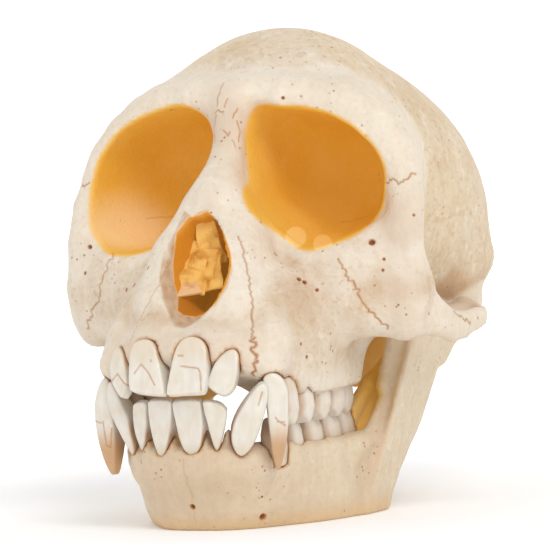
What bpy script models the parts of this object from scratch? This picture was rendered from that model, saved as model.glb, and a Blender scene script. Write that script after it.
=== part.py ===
"""A monkey skull with its lower jaw, life size, standing on the jaw as on a table.

Each bone is one closed solid with its teeth. It is described as a distance field in Geometry
Nodes: rounded shapes are blended together, the hollows are carved out, and Volume to Mesh makes
the surface. Sizes are in millimetres and become metres at the end. X points to the skull's left,
Y to its back and Z up, and the table is at Z = 0. The sizes below are measured from a point just
in front of the brow, and ORIGIN_Y moves the finished bones so that the origin is under the middle.
"""

import math

import bpy
from mathutils import Vector

MM = 0.001

# Driving sizes, in millimetres. Positions are on the left side, and the right side mirrors it.
BRAINCASE = (0, 42.6, 51.6)
BRAINCASE_RADII = (27.0, 38.2, 25.7)
BRAINCASE_TILT = -21
FOREHEAD = (0, 25, 61.0)
FOREHEAD_RADII = (22.2, 22, 21.6)
ORBIT_X = 15.4
ORBIT_Z = 56.9
ORBIT_RADIUS = 11.6
ORBIT_DEPTH = 27
NOSE_HALF_WIDTH = 6.0
JAW_HEIGHT = 14.5
JAW_GAP = 0.6
ORIGIN_Y = 26.74
VOXEL = 0.7
FLOOR_CUT = 0.3
CRANIUM_SHARE = 0.044
MANDIBLE_SHARE = 0.09


def socket_tree(name, inputs, output):
    tree = bpy.data.node_groups.new(name, "GeometryNodeTree")
    for label, kind in inputs:
        tree.interface.new_socket(label, in_out="INPUT", socket_type="NodeSocket" + kind)
    kind = "Geometry" if output == "Geometry" else "Float"
    tree.interface.new_socket(output, in_out="OUTPUT", socket_type="NodeSocket" + kind)
    return tree


class Nodes:
    """Adds nodes to a tree. A value that goes into a node is a socket or a constant."""

    def __init__(self, tree):
        self.tree = tree

    def link(self, value, socket):
        if isinstance(value, bpy.types.NodeSocket):
            self.tree.links.new(value, socket)
        else:
            socket.default_value = value

    def number(self, operation, *values, clamp=False):
        made = self.tree.nodes.new("ShaderNodeMath")
        made.operation = operation
        made.use_clamp = clamp
        for value, socket in zip(values, made.inputs):
            self.link(value, socket)
        return made.outputs[0]

    def vector(self, operation, *values, scale=None):
        made = self.tree.nodes.new("ShaderNodeVectorMath")
        made.operation = operation
        for value, socket in zip(values, made.inputs):
            self.link(value, socket)
        if scale is not None:
            self.link(scale, made.inputs["Scale"])
        return made.outputs["Value" if operation in ("LENGTH", "DOT_PRODUCT") else "Vector"]

    def group(self, tree, *values):
        made = self.tree.nodes.new("GeometryNodeGroup")
        made.node_tree = tree
        for value, socket in zip(values, made.inputs):
            self.link(value, socket)
        return made.outputs[0]

    def finish(self, value):
        out = self.tree.nodes.new("NodeGroupOutput")
        self.link(value, out.inputs[0])
        return self.tree


def egg_tree():
    """Distance to an ellipsoid."""
    names = [(name, "Vector") for name in ("Place", "Centre", "Radii", "Turn")]
    tree = socket_tree("Egg", names, "Distance")
    n = Nodes(tree)
    place, centre, radii, turn = tree.nodes.new("NodeGroupInput").outputs[:4]
    turned = tree.nodes.new("ShaderNodeVectorRotate")
    turned.rotation_type = "EULER_XYZ"
    turned.invert = True
    n.link(n.vector("SUBTRACT", place, centre), turned.inputs["Vector"])
    n.link(turn, turned.inputs["Rotation"])
    once = n.vector("DIVIDE", turned.outputs[0], radii)
    near = n.vector("LENGTH", once)
    far = n.vector("LENGTH", n.vector("DIVIDE", once, radii))
    inside = n.number("MULTIPLY", near, n.number("SUBTRACT", near, 1.0))
    return n.finish(n.number("DIVIDE", inside, far))


def limb_tree():
    """Distance to a round bar that starts at Start, runs along Axis and changes its radius."""
    names = [(name, "Vector") for name in ("Place", "Start", "Axis")]
    names += [(name, "Float") for name in ("Length squared", "Radius", "Growth")]
    tree = socket_tree("Limb", names, "Distance")
    n = Nodes(tree)
    place, start, axis, squared, radius, growth = tree.nodes.new("NodeGroupInput").outputs[:6]
    local = n.vector("SUBTRACT", place, start)
    along = n.number("DIVIDE", n.vector("DOT_PRODUCT", local, axis), squared, clamp=True)
    gap = n.vector("LENGTH", n.vector("SUBTRACT", local, n.vector("SCALE", axis, scale=along)))
    return n.finish(n.number("SUBTRACT", gap, n.number("MULTIPLY_ADD", along, growth, radius)))


def crown_tree():
    """Distance to a tooth crown, which is a rounded block that tapers from the gum to the edge."""
    names = [(name, "Vector") for name in ("Place", "Gum", "Axis", "Side", "Front")]
    names += [(name, "Float") for name in ("Length", "Width", "Width growth", "Depth")]
    names += [(name, "Float") for name in ("Depth growth", "Gum rounding", "Edge rounding")]
    tree = socket_tree("Crown", names, "Distance")
    n = Nodes(tree)
    sockets = tree.nodes.new("NodeGroupInput").outputs
    place, gum, axis, side, front, length = sockets[:6]
    width, width_growth, depth, depth_growth, gum_round, edge_round = sockets[6:12]
    local = n.vector("SUBTRACT", place, gum)
    down = n.vector("DOT_PRODUCT", local, axis)
    along = n.number("DIVIDE", down, length, clamp=True)
    half_depth = n.number("MULTIPLY_ADD", along, depth_growth, depth)
    half_width = n.number("MULTIPLY_ADD", along, width_growth, width)
    ratios = []
    for direction, size in ((side, half_width), (front, half_depth)):
        off = n.number("ABSOLUTE", n.vector("DOT_PRODUCT", local, direction))
        ratios.append(n.number("POWER", n.number("DIVIDE", off, size), 2.6))
    ring = n.number("POWER", n.number("ADD", *ratios), 1 / 2.6)
    wall = n.number("MULTIPLY", n.number("SUBTRACT", ring, 1.0), half_depth)
    made = n.number("SMOOTH_MAX", wall, n.number("MULTIPLY", down, -1.0), gum_round)
    return n.finish(n.number("SMOOTH_MAX", made, n.number("SUBTRACT", down, length), edge_round))


class Clay(Nodes):
    """A distance field in a Geometry Nodes tree, in millimetres and negative inside the bone."""

    def __init__(self, name, shapes):
        super().__init__(socket_tree(name, (), "Geometry"))
        self.egg_shape, self.limb_shape, self.crown_shape = shapes
        position = self.tree.nodes.new("GeometryNodeInputPosition").outputs[0]
        self.whole = self.vector("ADD", self.vector("SCALE", position, scale=1 / MM), (0, ORIGIN_Y, 0))
        parts = self.tree.nodes.new("ShaderNodeSeparateXYZ")
        self.link(self.whole, parts.inputs[0])
        self.x, self.y, self.z = parts.outputs
        # The left half and its mirror image are one shape: x is replaced by a rounded |x|.
        self.mirrored = self.number("SQRT", self.number("MULTIPLY_ADD", self.x, self.x, 0.5))
        self.half = self.place(self.mirrored, self.y, self.z)
        self.plan = self.place(self.mirrored, self.y, 0.0)

    def place(self, *values):
        made = self.tree.nodes.new("ShaderNodeCombineXYZ")
        for value, socket in zip(values, made.inputs):
            self.link(value, socket)
        return made.outputs[0]

    def join(self, a, b, blend=4.0):
        return self.number("SMOOTH_MIN", a, b, blend)

    def carve(self, a, b, blend=1.0):
        return self.number("SMOOTH_MAX", a, self.number("MULTIPLY", b, -1.0), blend)

    def both(self, a, b, blend=1.0):
        return self.number("SMOOTH_MAX", a, b, blend)

    def egg(self, centre, radii, turn=(0, 0, 0), place=None):
        angles = [math.radians(angle) for angle in turn]
        return self.group(self.egg_shape, place or self.half, centre, radii, angles)

    def limb(self, start, end, stretch=(1, 1, 1), place=None):
        """start and end are (x, y, z, radius)."""
        place = place or self.half
        if tuple(stretch) != (1, 1, 1):
            place = self.vector("DIVIDE", place, stretch)
        a = Vector([p / s for p, s in zip(start, stretch)])
        axis = Vector([p / s for p, s in zip(end, stretch)]) - a
        growth = end[3] - start[3]
        return self.group(self.limb_shape, place, a, axis, axis.length_squared, start[3], growth)

    def chain(self, points, stretch=(1, 1, 1), blend=0.6, place=None):
        made = None
        for a, b in zip(points, points[1:]):
            piece = self.limb(a, b, stretch, place)
            made = piece if made is None else self.join(made, piece, blend)
        return made

    def oval(self, centre, radii, power, plan):
        """A rounded rectangle in plan, with upright sides."""
        local = self.vector("DIVIDE", self.vector("SUBTRACT", plan, (*centre, 0)), (*radii, 1))
        parts = self.tree.nodes.new("ShaderNodeSeparateXYZ")
        self.link(self.vector("ABSOLUTE", local), parts.inputs[0])
        total = self.number("ADD", *(self.number("POWER", side, power) for side in parts.outputs[:2]))
        ring = self.number("SUBTRACT", self.number("POWER", total, 1 / power), 1.0)
        return self.number("MULTIPLY", ring, radii[0])

    def slab(self, point, normal):
        """Everything behind the plane through point that faces along normal."""
        normal = Vector(normal).normalized()
        along = self.vector("DOT_PRODUCT", self.half, normal)
        return self.number("SUBTRACT", along, normal.dot(Vector(point)))

    def crown(self, gum, edge, side, width, depth, gum_rounding=2.5, edge_rounding=0.6):
        """side points along the tooth row. width and depth are half sizes at the gum and the edge."""
        gum = Vector(gum)
        axis = Vector(edge) - gum
        length = axis.length
        axis = axis.normalized()
        side = (Vector(side) - axis * axis.dot(Vector(side))).normalized()
        width = (width[0], width[1] - width[0])
        depth = (depth[0], depth[1] - depth[0])
        sizes = (length, *width, *depth, gum_rounding, edge_rounding)
        return self.group(self.crown_shape, self.half, gum, axis, side, axis.cross(side), *sizes)

    def surface(self, field, low, high, voxel):
        """Ends the tree with the surface of the field inside the box from low to high."""
        block = self.tree.nodes.new("GeometryNodeVolumeCube")
        self.link(self.number("MULTIPLY", field, -1.0), block.inputs["Density"])
        block.inputs["Background"].default_value = -1.0
        steps = [math.ceil((end - start) / voxel) for start, end in zip(low, high)]
        shift = (0, ORIGIN_Y, 0)
        corner = [(start - off) * MM for start, off in zip(low, shift)]
        block.inputs["Min"].default_value = corner
        block.inputs["Max"].default_value = [c + n * voxel * MM for c, n in zip(corner, steps)]
        for axis, n in zip("XYZ", steps):
            block.inputs["Resolution " + axis].default_value = n + 1
        skin = self.tree.nodes.new("GeometryNodeVolumeToMesh")
        skin.inputs["Threshold"].default_value = 0.0
        self.link(block.outputs[0], skin.inputs[0])
        return self.finish(skin.outputs[0])


def braincase(c):
    bone = c.egg(BRAINCASE, BRAINCASE_RADII, (BRAINCASE_TILT, 0, 0), c.whole)
    bone = c.join(bone, c.egg(FOREHEAD, FOREHEAD_RADII, (-8, 0, 0), c.whole), 7)
    bone = c.join(bone, c.egg((0, 37, 38), (13, 24, 8), (4, 0, 0), c.whole), 7)
    bone = c.join(bone, c.egg((17, 55, 41), (7.6, 13, 6), (8, 0, 8)), 6)
    # neck muscle field, flat and rising to the back, and the flatter skull base
    bone = c.both(bone, c.slab((0, 60, 31.5), (0, 0.55, -0.835)), 5)
    bone = c.both(bone, c.slab((0, 40, 31), (0, 0, -1)), 4)
    # ear capsule, mastoid and condyles
    bone = c.join(bone, c.egg((14, 47, 34), (8, 5, 4.5), (0, 0, 35)), 3)
    bone = c.join(bone, c.egg((21.5, 52, 34), (3.2, 5, 4)), 3)
    return c.join(bone, c.egg((6.6, 57.5, 31), (2.6, 5, 2.8), (-15, 0, -25)), 1.5)


def face(c):
    # frame of the orbits, from the brow round the outer side to the cheek
    brow = [(0, 6.5, 71.0, 3.3), (8, 7.2, 70.8, 3.3), (14, 8.8, 70.0, 3.3), (19, 10, 68.2, 3.2)]
    brow += [(23.2, 10.6, 65.2, 3.1), (26.0, 10.4, 61.8, 3.0), (28.1, 9.4, 57.6, 2.8)]
    bone = c.chain(brow + [(29.4, 7.8, 53, 2.8), (29.4, 6.2, 47, 3.1), (29.4, 6.6, 40, 3.1)])
    bone = c.join(bone, c.chain([(9, 15, 73.5, 4), (17, 14, 69.5, 4), (23, 13, 64, 3.6)]), 5)
    bone = c.join(bone, c.chain([(27, 11.5, 60, 3), (26.4, 12, 54, 3), (26, 10.5, 46, 3)]), 4)
    bone = c.join(bone, c.egg((15, 17, 58), (12.8, 14, 13), (0, 0, 12)), 5)
    # bridge of the nose and the inner walls of the orbits
    bridge = [(0, 5.5, 70, 3.5), (0, 3.8, 64, 3.0), (0, 0.8, 59, 3.3), (0, -4.2, 53.5, 4.2)]
    bone = c.join(bone, c.chain(bridge, place=c.whole), 3)
    wall = [(1, 9, 66, 3.4), (1.5, 7, 58, 4), (4, 4, 51, 5.2), (9, 3.5, 45.5, 4.5)]
    bone = c.join(bone, c.chain(wall), 3)
    # muzzle
    muzzle = [(1, -1.5, 50, 6.6), (4, -6.5, 43, 6.6), (5.2, -11, 36, 6.4), (4.4, -15, 31, 5.6)]
    muzzle = c.chain(muzzle, blend=1.5)
    muzzle = c.join(muzzle, c.egg((8.5, 1.5, 31), (10.2, 16.5, 13), (0, 0, 6)), 4)
    ridge = c.both(c.oval((0, 8), (17.7, 31.6), 2.5, c.plan), c.slab((0, 0, 32), (0, 0, 1)), 4)
    ridge = c.both(ridge, c.slab((0, 17, 0), (0, 1, 0)), 3)
    ridge = c.both(ridge, c.slab((0, 0, 22.3), (0, 0, -1)), 2)
    ridge = c.both(ridge, c.slab((0, -12, 23.4), (0, -0.38, -0.92)), 2)
    bone = c.join(bone, c.join(muzzle, ridge, 5), 4)
    sockets = [(0, -20.6, 28.6, 1.5), (6.6, -19.6, 28.2, 1.4), (10.9, -16.8, 27, 1.6)]
    bone = c.join(bone, c.chain(sockets), 2)
    # root of the long canine
    bone = c.join(bone, c.chain([(13.2, -12.8, 28, 2.9), (12.4, -9.6, 34, 2.4), (11.4, -6, 40, 1.8)]), 4)
    # cheek, and the floor of the orbit above it
    bone = c.join(bone, c.egg((19.5, 3.4, 38), (14, 5.2, 8.2), (0, 0, 22)), 4)
    bone = c.join(bone, c.egg((27.8, 7.4, 36.5), (4.9, 4.2, 7)), 4)
    bone = c.join(bone, c.egg((20, 9, 41), (10, 7, 6), (0, 0, 20)), 4)
    bone = c.join(bone, c.egg((0, 10, 42), (15, 14, 9), place=c.whole), 4)
    return c.join(bone, c.chain([(14.5, 3.5, 43.5, 3.4), (21, 5, 43.6, 3.6), (26.4, 7.5, 46.5, 3.2)]), 3)


def cranium(c):
    bone = c.join(braincase(c), face(c), 4)
    arch = [(29.5, 7.5, 36, 2.9), (31.6, 12, 33.4, 1.9), (32.4, 18, 31.8, 1.5)]
    arch += [(32.3, 25, 31.1, 1.35), (31.2, 32, 30.9, 1.4), (28.8, 38.5, 31.2, 1.5)]
    arch.append((24.5, 43.5, 32.4, 1.5))
    bone = c.join(bone, c.chain(arch, stretch=(1, 1, 2.0), blend=0.4), 2.5)
    bone = c.join(bone, c.egg((24, 42, 33.2), (5.5, 5.5, 1.6)), 2.5)
    # wings behind the palate
    wing = c.both(c.slab((12.9, 22, 0), (1, -0.26, 0)), c.slab((11.4, 22, 0), (-1, 0.26, 0)), 0.3)
    wing = c.both(wing, c.slab((0, 16, 21.4), (0, 0.42, -0.9)), 3)
    wing = c.both(wing, c.slab((0, 31, 30), (0, 1, -0.1)), 3)
    wing = c.both(wing, c.egg((12.5, 22, 33), (9, 14, 14)), 1)
    bone = c.join(bone, wing, 2)
    # orbits
    orbit = c.limb((ORBIT_X + 2.4, -9, ORBIT_Z, ORBIT_RADIUS), (ORBIT_X, 4, ORBIT_Z, ORBIT_RADIUS))
    back = c.egg((ORBIT_X - 1.6, 7, ORBIT_Z), (11.4, ORBIT_DEPTH - 7, 11.6), (0, 0, 17))
    orbit = c.join(orbit, back, 3)
    orbit = c.join(orbit, c.chain([(6.4, -8, 65.8, 2.7), (7.0, 6, 65.4, 3.0), (9, 14, 62, 3.0)]), 3)
    bone = c.carve(bone, orbit, 1.0)
    # nose opening, a flattened bar at each height, and the passage behind it
    nose = [(0, 0, 49.8, 1.9), (0, 0, 44.8, NOSE_HALF_WIDTH - 0.7), (0, 0, 41.6, NOSE_HALF_WIDTH)]
    nose = c.chain(nose + [(0, 0, 36.4, 2.8)], place=c.place(c.x, 0.0, c.z), blend=1)
    nose = c.both(nose, c.slab((0, -6, 50), (0, 1, 0.4)), 2)
    nose = c.join(nose, c.egg((0, 2, 39.5), (5.0, 14, 7), place=c.whole), 2)
    bone = c.carve(bone, nose, 0.7)
    # palate, throat opening and foramen magnum
    bone = c.carve(bone, c.egg((0, 0, 21.5), (9.6, 18, 6.5), place=c.whole), 2)
    bone = c.carve(bone, c.egg((0, 24, 31), (5.5, 10, 5), (10, 0, 0), c.whole), 1.5)
    return c.carve(bone, c.limb((0, 65, 27, 6.2), (0, 61.5, 38, 5.8), place=c.whole), 1.2)


def upper_teeth(c):
    canine = [(13.4, -14.3, 30, 2.2), (14.1, -16.5, 25, 2.5), (14.6, -16.8, 20, 2.3)]
    canine += [(14.9, -16.3, 15, 1.65), (14.85, -15.2, 9.9, 0.55)]
    teeth = c.chain(canine, stretch=(1, 1.35, 1), blend=1)
    front = ((3.95, -21.8, 31.6), (3.3, -25.0, 22.9), (1, 0.12, 0), (2.3, 3.15), (2.4, 0.75))
    teeth = c.join(teeth, c.crown(*front), 0.3)
    second = ((9.7, -19.6, 30.0), (8.5, -22.8, 22.6), (1, 0.45, 0), (1.7, 2.1), (1.9, 0.75))
    teeth = c.join(teeth, c.crown(*second), 0.3)
    premolars = [(14.1, -10.9, 2.4, 2.3), (14.3, -5.7, 2.45, 2.6)]
    molars = [(14.2, 0.4, 3.2, 2.9), (13.9, 7.0, 3.25, 3.0), (13.1, 13.2, 2.8, 2.7)]
    for x, y, width, depth in premolars + molars:
        place = ((x, y, 26), (x + 0.2, y, 17.9), (0, 1, 0))
        teeth = c.join(teeth, c.crown(*place, (width, width), (depth, depth * 0.8), 1, 1.2), 0.3)
    return teeth


def mandible(c):
    # the body is a bent wall, leaning forwards, cut off level above and below
    leaning = c.number("MULTIPLY_ADD", c.z, 0.2, c.number("SUBTRACT", c.y, 1.5))
    plan = c.place(c.mirrored, leaning, 0.0)
    outer = c.oval((0, 22), (18.7, 40.3), 2.4, plan)
    body = c.carve(outer, c.egg((0, 24, 0), (15.2, 35.5, 1), place=plan), 1.5)
    body = c.both(body, c.slab((0, 0, JAW_HEIGHT - 0.8), (0, 0, 1)), 2.5)
    body = c.both(body, c.slab((0, 0, -FLOOR_CUT), (0, 0, -1)), 2)
    body = c.both(body, c.slab((0, -16.6, 1), (0, -0.75, -0.66)), 4)
    body = c.both(body, c.slab((9.2, -12.2, 2), (0.66, -0.42, -0.62)), 5)
    bone = c.both(body, c.slab((0, 21.5, 0), (0, 1, 0)), 3)
    # bone round the roots of the front teeth
    roots = [(0, -16.9, 10.9, 2.2), (5.4, -16.3, 10.9, 2.2), (9.4, -14.0, 10.8, 2.2), (12.2, -9, 10.8, 1.9)]
    bone = c.join(bone, c.chain(roots), 5)
    # upright branch: a plate between two sloping faces, cut to its outline
    plate = c.both(c.slab((19.0, 0, 3), (1, 0, -0.23)), c.slab((16.2, 0, 3), (-1, 0, 0.2)), 1)
    plate = c.both(plate, c.slab((0, 16.6, 13), (0, -1, 0.16)), 2)
    plate = c.both(plate, c.slab((0, 22.3, 1.7), (0, 0.7, -0.72)), 6)
    plate = c.both(plate, c.slab((0, 36.2, 21.5), (0, 1, -0.36)), 4)
    plate = c.both(plate, c.slab((0, 0, 32), (0, 0, 1)), 2)
    plate = c.carve(plate, c.egg((23, 29.6, 36), (6, 6.4, 5.4)), 1)
    plate = c.both(plate, c.slab((0, 0, -FLOOR_CUT), (0, 0, -1)), 2)
    bone = c.join(bone, plate, 5)
    # front process and condyle
    process = [(22.4, 20.5, 27, 1.6), (23.0, 21, 32, 1.3), (23.4, 22, 36, 0.9)]
    bone = c.join(bone, c.chain(process, stretch=(1, 1.9, 1)), 1.5)
    bone = c.join(bone, c.limb((22.6, 36, 25, 1.7), (23.4, 38.4, 28, 1.8)), 2)
    bone = c.join(bone, c.egg((23.4, 38.8, 29.2), (4.3, 2.1, 1.7)), 1.5)
    # the hollow front of the branch lies between an outer and an inner ridge
    outer = [(16.8, 9, 11, 1.9), (18.6, 16.3, 14.5, 1.3), (20.2, 18.0, 21, 1.1)]
    bone = c.join(bone, c.chain(outer + [(22.2, 19.6, 29, 1.0)]), 1.5)
    inner = [(13.6, 15, 12.5, 2.0), (14.3, 18.2, 16.6, 1.4), (16.9, 20.6, 22.6, 1.3)]
    bone = c.join(bone, c.chain(inner + [(18.6, 22, 28, 1.3)]), 1.5)
    hollow = [(16.3, 18, 13, 2.2), (17.2, 20.4, 18, 1.6), (19.2, 21.6, 23.5, 1.5)]
    return c.join(bone, c.chain(hollow + [(20.4, 22.4, 28, 1.5)]), 2)


def lower_teeth(c):
    canine = [(9.3, -15.6, 11.0, 1.8), (10.2, -17.6, 14.5, 2.2), (11.6, -18.9, 18.5, 2.25)]
    teeth = c.chain(canine + [(13.1, -19.3, 23.1, 1.15)], blend=1)
    front = ((2.15, -18.2, 12.4), (2.35, -22.3, 21.9), (1, 0.1, 0), (1.3, 2.3), (1.6, 0.7))
    teeth = c.join(teeth, c.crown(*front), 0.3)
    second = ((6.1, -17.5, 12.8), (6.5, -21.4, 21.7), (1, 0.3, 0), (1.2, 2.1), (1.6, 0.7))
    teeth = c.join(teeth, c.crown(*second), 0.3)
    premolars = [(12.4, -11.0, 2.6, 1.9), (12.8, -5.6, 2.4, 2.1)]
    molars = [(13.1, 0.6, 3.2, 2.6), (13.3, 7.4, 3.3, 2.7), (13.4, 14.2, 3.4, 2.4)]
    for x, y, width, depth in premolars + molars:
        place = ((x, y, 10), (x - 0.2, y, 17.5), (0, 1, 0))
        teeth = c.join(teeth, c.crown(*place, (width, width), (depth, depth * 0.8), 1, 1.2), 0.3)
    return teeth


def bone_object(collection, clay, name, colour, share, floor=None):
    obj = bpy.data.objects.new(name, bpy.data.meshes.new(name))
    collection.objects.link(obj)
    obj.modifiers.new("Clay", "NODES").node_group = clay.tree
    fewer = obj.modifiers.new("Fewer faces", "DECIMATE")
    fewer.ratio = share
    if floor:
        cut = obj.modifiers.new("Level feet", "BOOLEAN")
        cut.operation = "DIFFERENCE"
        cut.solver = "EXACT"
        cut.object = floor
    material = bpy.data.materials.new(name)
    material.use_nodes = True
    shader = material.node_tree.nodes["Principled BSDF"]
    shader.inputs["Base Color"].default_value = colour
    shader.inputs["Roughness"].default_value = 0.6
    obj.data.materials.append(material)
    return obj


def collection(name):
    made = bpy.data.collections.new(name)
    bpy.context.scene.collection.children.link(made)
    return made


def main():
    for old in list(bpy.data.objects):
        bpy.data.objects.remove(old)
    skull = collection("Monkey skull")
    cutters = collection("Cutters")
    bpy.ops.mesh.primitive_cube_add(size=0.2, location=(0, 0, -0.1))
    floor = bpy.context.object
    floor.name = "floor_cutter"
    floor.hide_render = True
    floor.display_type = "WIRE"
    for home in list(floor.users_collection):
        home.objects.unlink(floor)
    cutters.objects.link(floor)

    shapes = (egg_tree(), limb_tree(), crown_tree())
    upper = Clay("Cranium", shapes)
    field = upper.join(cranium(upper), upper_teeth(upper), 0.5)
    upper.surface(field, (-38, -30, 4), (38, 86, 88), VOXEL)
    bone_object(skull, upper, "cranium", (0.80, 0.70, 0.54, 1), CRANIUM_SHARE)

    lower = Clay("Mandible", shapes)
    field = lower.join(mandible(lower), lower_teeth(lower), 0.5)
    # the lower teeth and condyles keep clear of the upper ones
    above = lower.join(cranium(lower), upper_teeth(lower), 0.5)
    field = lower.both(field, lower.number("SUBTRACT", JAW_GAP, above), 0.2)
    lower.surface(field, (-32, -27, -4), (32, 48, 42), VOXEL)
    bone_object(skull, lower, "mandible", (0.76, 0.64, 0.46, 1), MANDIBLE_SHARE, floor)


main()
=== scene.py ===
# A monkey skull with its lower jaw, life size, on a pale studio floor.
# Each bone and tooth is sculpted as a distance field in millimetres and meshed as a volume; the bones are
# then scored with their sutures, cracks and vessel holes. X is the skull's left, Y its back, Z up, and Y = 0
# lies just before the brow.
import math

import bmesh
import bpy
import numpy as np
import openvdb
from mathutils import Euler, Matrix, Vector
from mathutils.bvhtree import BVHTree
from mathutils.kdtree import KDTree


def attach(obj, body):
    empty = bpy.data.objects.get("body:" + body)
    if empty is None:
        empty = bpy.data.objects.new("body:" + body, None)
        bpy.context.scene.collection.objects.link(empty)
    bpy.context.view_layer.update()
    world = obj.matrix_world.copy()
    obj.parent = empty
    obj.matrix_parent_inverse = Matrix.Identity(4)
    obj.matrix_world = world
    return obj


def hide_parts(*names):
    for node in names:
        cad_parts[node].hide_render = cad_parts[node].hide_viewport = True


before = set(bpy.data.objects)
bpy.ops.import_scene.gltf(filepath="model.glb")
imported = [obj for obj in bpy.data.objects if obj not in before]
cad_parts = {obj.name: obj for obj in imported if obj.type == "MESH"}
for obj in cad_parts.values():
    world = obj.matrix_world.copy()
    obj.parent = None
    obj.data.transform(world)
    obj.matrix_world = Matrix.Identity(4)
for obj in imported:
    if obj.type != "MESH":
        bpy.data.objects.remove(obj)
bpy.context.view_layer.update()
originY = 26.74     # how far the CAD origin lies behind the brow, in mm


# the photograph's viewpoint: degrees, mm, and pixels of the 560 x 560 photograph
camera = {"azimuth": 24, "height": 1.68, "roll": -2.25, "distance": 600, "target": (9.35, 0, 40.03),
          "pixelsPerMm": 6.0436, "frame": 560}


def cameraTurn():
    a = math.radians(camera["azimuth"])
    e = math.radians(camera["height"])
    back = Vector((math.sin(a) * math.cos(e), -math.cos(a) * math.cos(e), math.sin(e)))
    roll = Matrix.Rotation(math.radians(camera["roll"]), 3, "Z")
    return back, (-back).to_track_quat("-Z", "Y").to_matrix() @ roll


def sightLine(px, py):
    back, turn = cameraTurn()
    eye = Vector(camera["target"]) + back * camera["distance"]
    middle = camera["frame"] / 2
    focal = camera["pixelsPerMm"] * camera["distance"]
    return eye, (turn @ Vector(((px - middle) / focal, (middle - py) / focal, -1))).normalized()


def seenAt(tree, px, py):
    # the point of the bone that the photograph shows at that place, in mm
    return tree.ray_cast(*sightLine(px, py))[0]


def photoPlace(p):
    # pixels of the photograph on which points in mm fall
    back, turn = cameraTurn()
    offset = (p - column(camera["target"])).T
    scale = camera["pixelsPerMm"] * camera["distance"] / (camera["distance"] - offset @ np.array(back))
    sideways, upward = [offset @ np.array(turn.col[k]) for k in (0, 1)]
    return camera["frame"] / 2 + sideways * scale, camera["frame"] / 2 - upward * scale


def onPlane(px, py, point, normal):
    eye, way = sightLine(px, py)
    return eye + way * ((Vector(point) - eye).dot(normal) / way.dot(normal))


# shapes: points come as a (3, n) array in mm, and a shape is its distances from them, negative inside

def join(a, b, blend=4.0):
    h = np.maximum(blend - np.abs(a - b), 0) / blend
    return np.minimum(a, b) - h * h * h * blend / 6


def both(a, b, blend=1.0):
    return -join(-a, -b, blend)


def carve(a, b, blend=1.0):
    return -join(-a, b, blend)


def half(p):
    # the left half stands for both: x is replaced by a rounded |x|
    return np.stack([np.sqrt(p[0] ** 2 + 0.5), p[1], p[2]])


def column(values):
    return np.array(values, np.float32)[:, None]


def egg(p, centre, radii, turn=(0, 0, 0)):
    local = p - column(centre)
    if any(turn):
        turned = np.array(Euler([math.radians(a) for a in turn]).to_matrix(), np.float32)
        local = turned.T @ local
    once = local / column(radii)
    near = np.sqrt((once ** 2).sum(0))
    far = np.sqrt(((once / column(radii)) ** 2).sum(0)) + 1e-6
    return near * (near - 1) / far


def limb(p, start, end, stretch=(1, 1, 1)):
    squeeze = column(stretch)
    a = column(start[:3]) / squeeze
    axis = column(end[:3]) / squeeze - a
    local = p / squeeze - a
    along = np.clip((local * axis).sum(0) / (axis ** 2).sum(), 0, 1)
    gap = np.sqrt(((local - axis * along) ** 2).sum(0))
    return gap - (start[3] + along * (end[3] - start[3]))


def chain(p, points, stretch=(1, 1, 1), blend=0.6):
    made = limb(p, points[0], points[1], stretch)
    for a, b in zip(points[1:], points[2:]):
        made = join(made, limb(p, a, b, stretch), blend)
    return made


def slab(p, point, normal):
    normal = np.array(Vector(normal).normalized(), np.float32)[:, None]
    return (p * normal).sum(0) - float((column(point) * normal).sum())


def oval(x, y, centre, radii, power):
    ring = np.abs((x - centre[0]) / radii[0]) ** power + np.abs((y - centre[1]) / radii[1]) ** power
    return (ring ** (1 / power) - 1) * radii[0]


def wobble(p, size, seed):
    # smooth unevenness between about -1 and 1, with bumps of about that size in mm
    rng = np.random.default_rng(seed)
    total = 0
    for k in range(5):
        way = rng.normal(size=3)
        way *= 2 * math.pi / (np.linalg.norm(way) * size * rng.uniform(0.8, 1.7))
        total = total + np.sin((p * column(way)).sum(0) + rng.uniform(0, 6.3))
    return total / 3.2


def smooth(value, low, high):
    t = np.clip((value - low) / (high - low), 0, 1)
    return t * t * (3 - 2 * t)


def outlineRadius(outline, centre):
    # radius of a measured opening at each angle, evenly sampled and a little smoothed
    points = np.array(outline, float) - centre
    angle = np.arctan2(points[:, 1], points[:, 0])
    order = np.argsort(angle)
    even = np.linspace(-math.pi, math.pi, 121)[:-1]
    radius = np.interp(even, angle[order], np.hypot(*points[order].T), period=2 * math.pi)
    kernel = np.exp(-np.linspace(-2, 2, 9) ** 2)
    wrapped = np.concatenate([radius[-4:], radius, radius[:4]])
    return even, np.convolve(wrapped, kernel / kernel.sum(), "valid")


def opening(x, z, centre, rim):
    dx = x - centre[0]
    dz = z - centre[1]
    return np.hypot(dx, dz) - np.interp(np.arctan2(dz, dx), *rim, period=2 * math.pi)


# cranium

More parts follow.
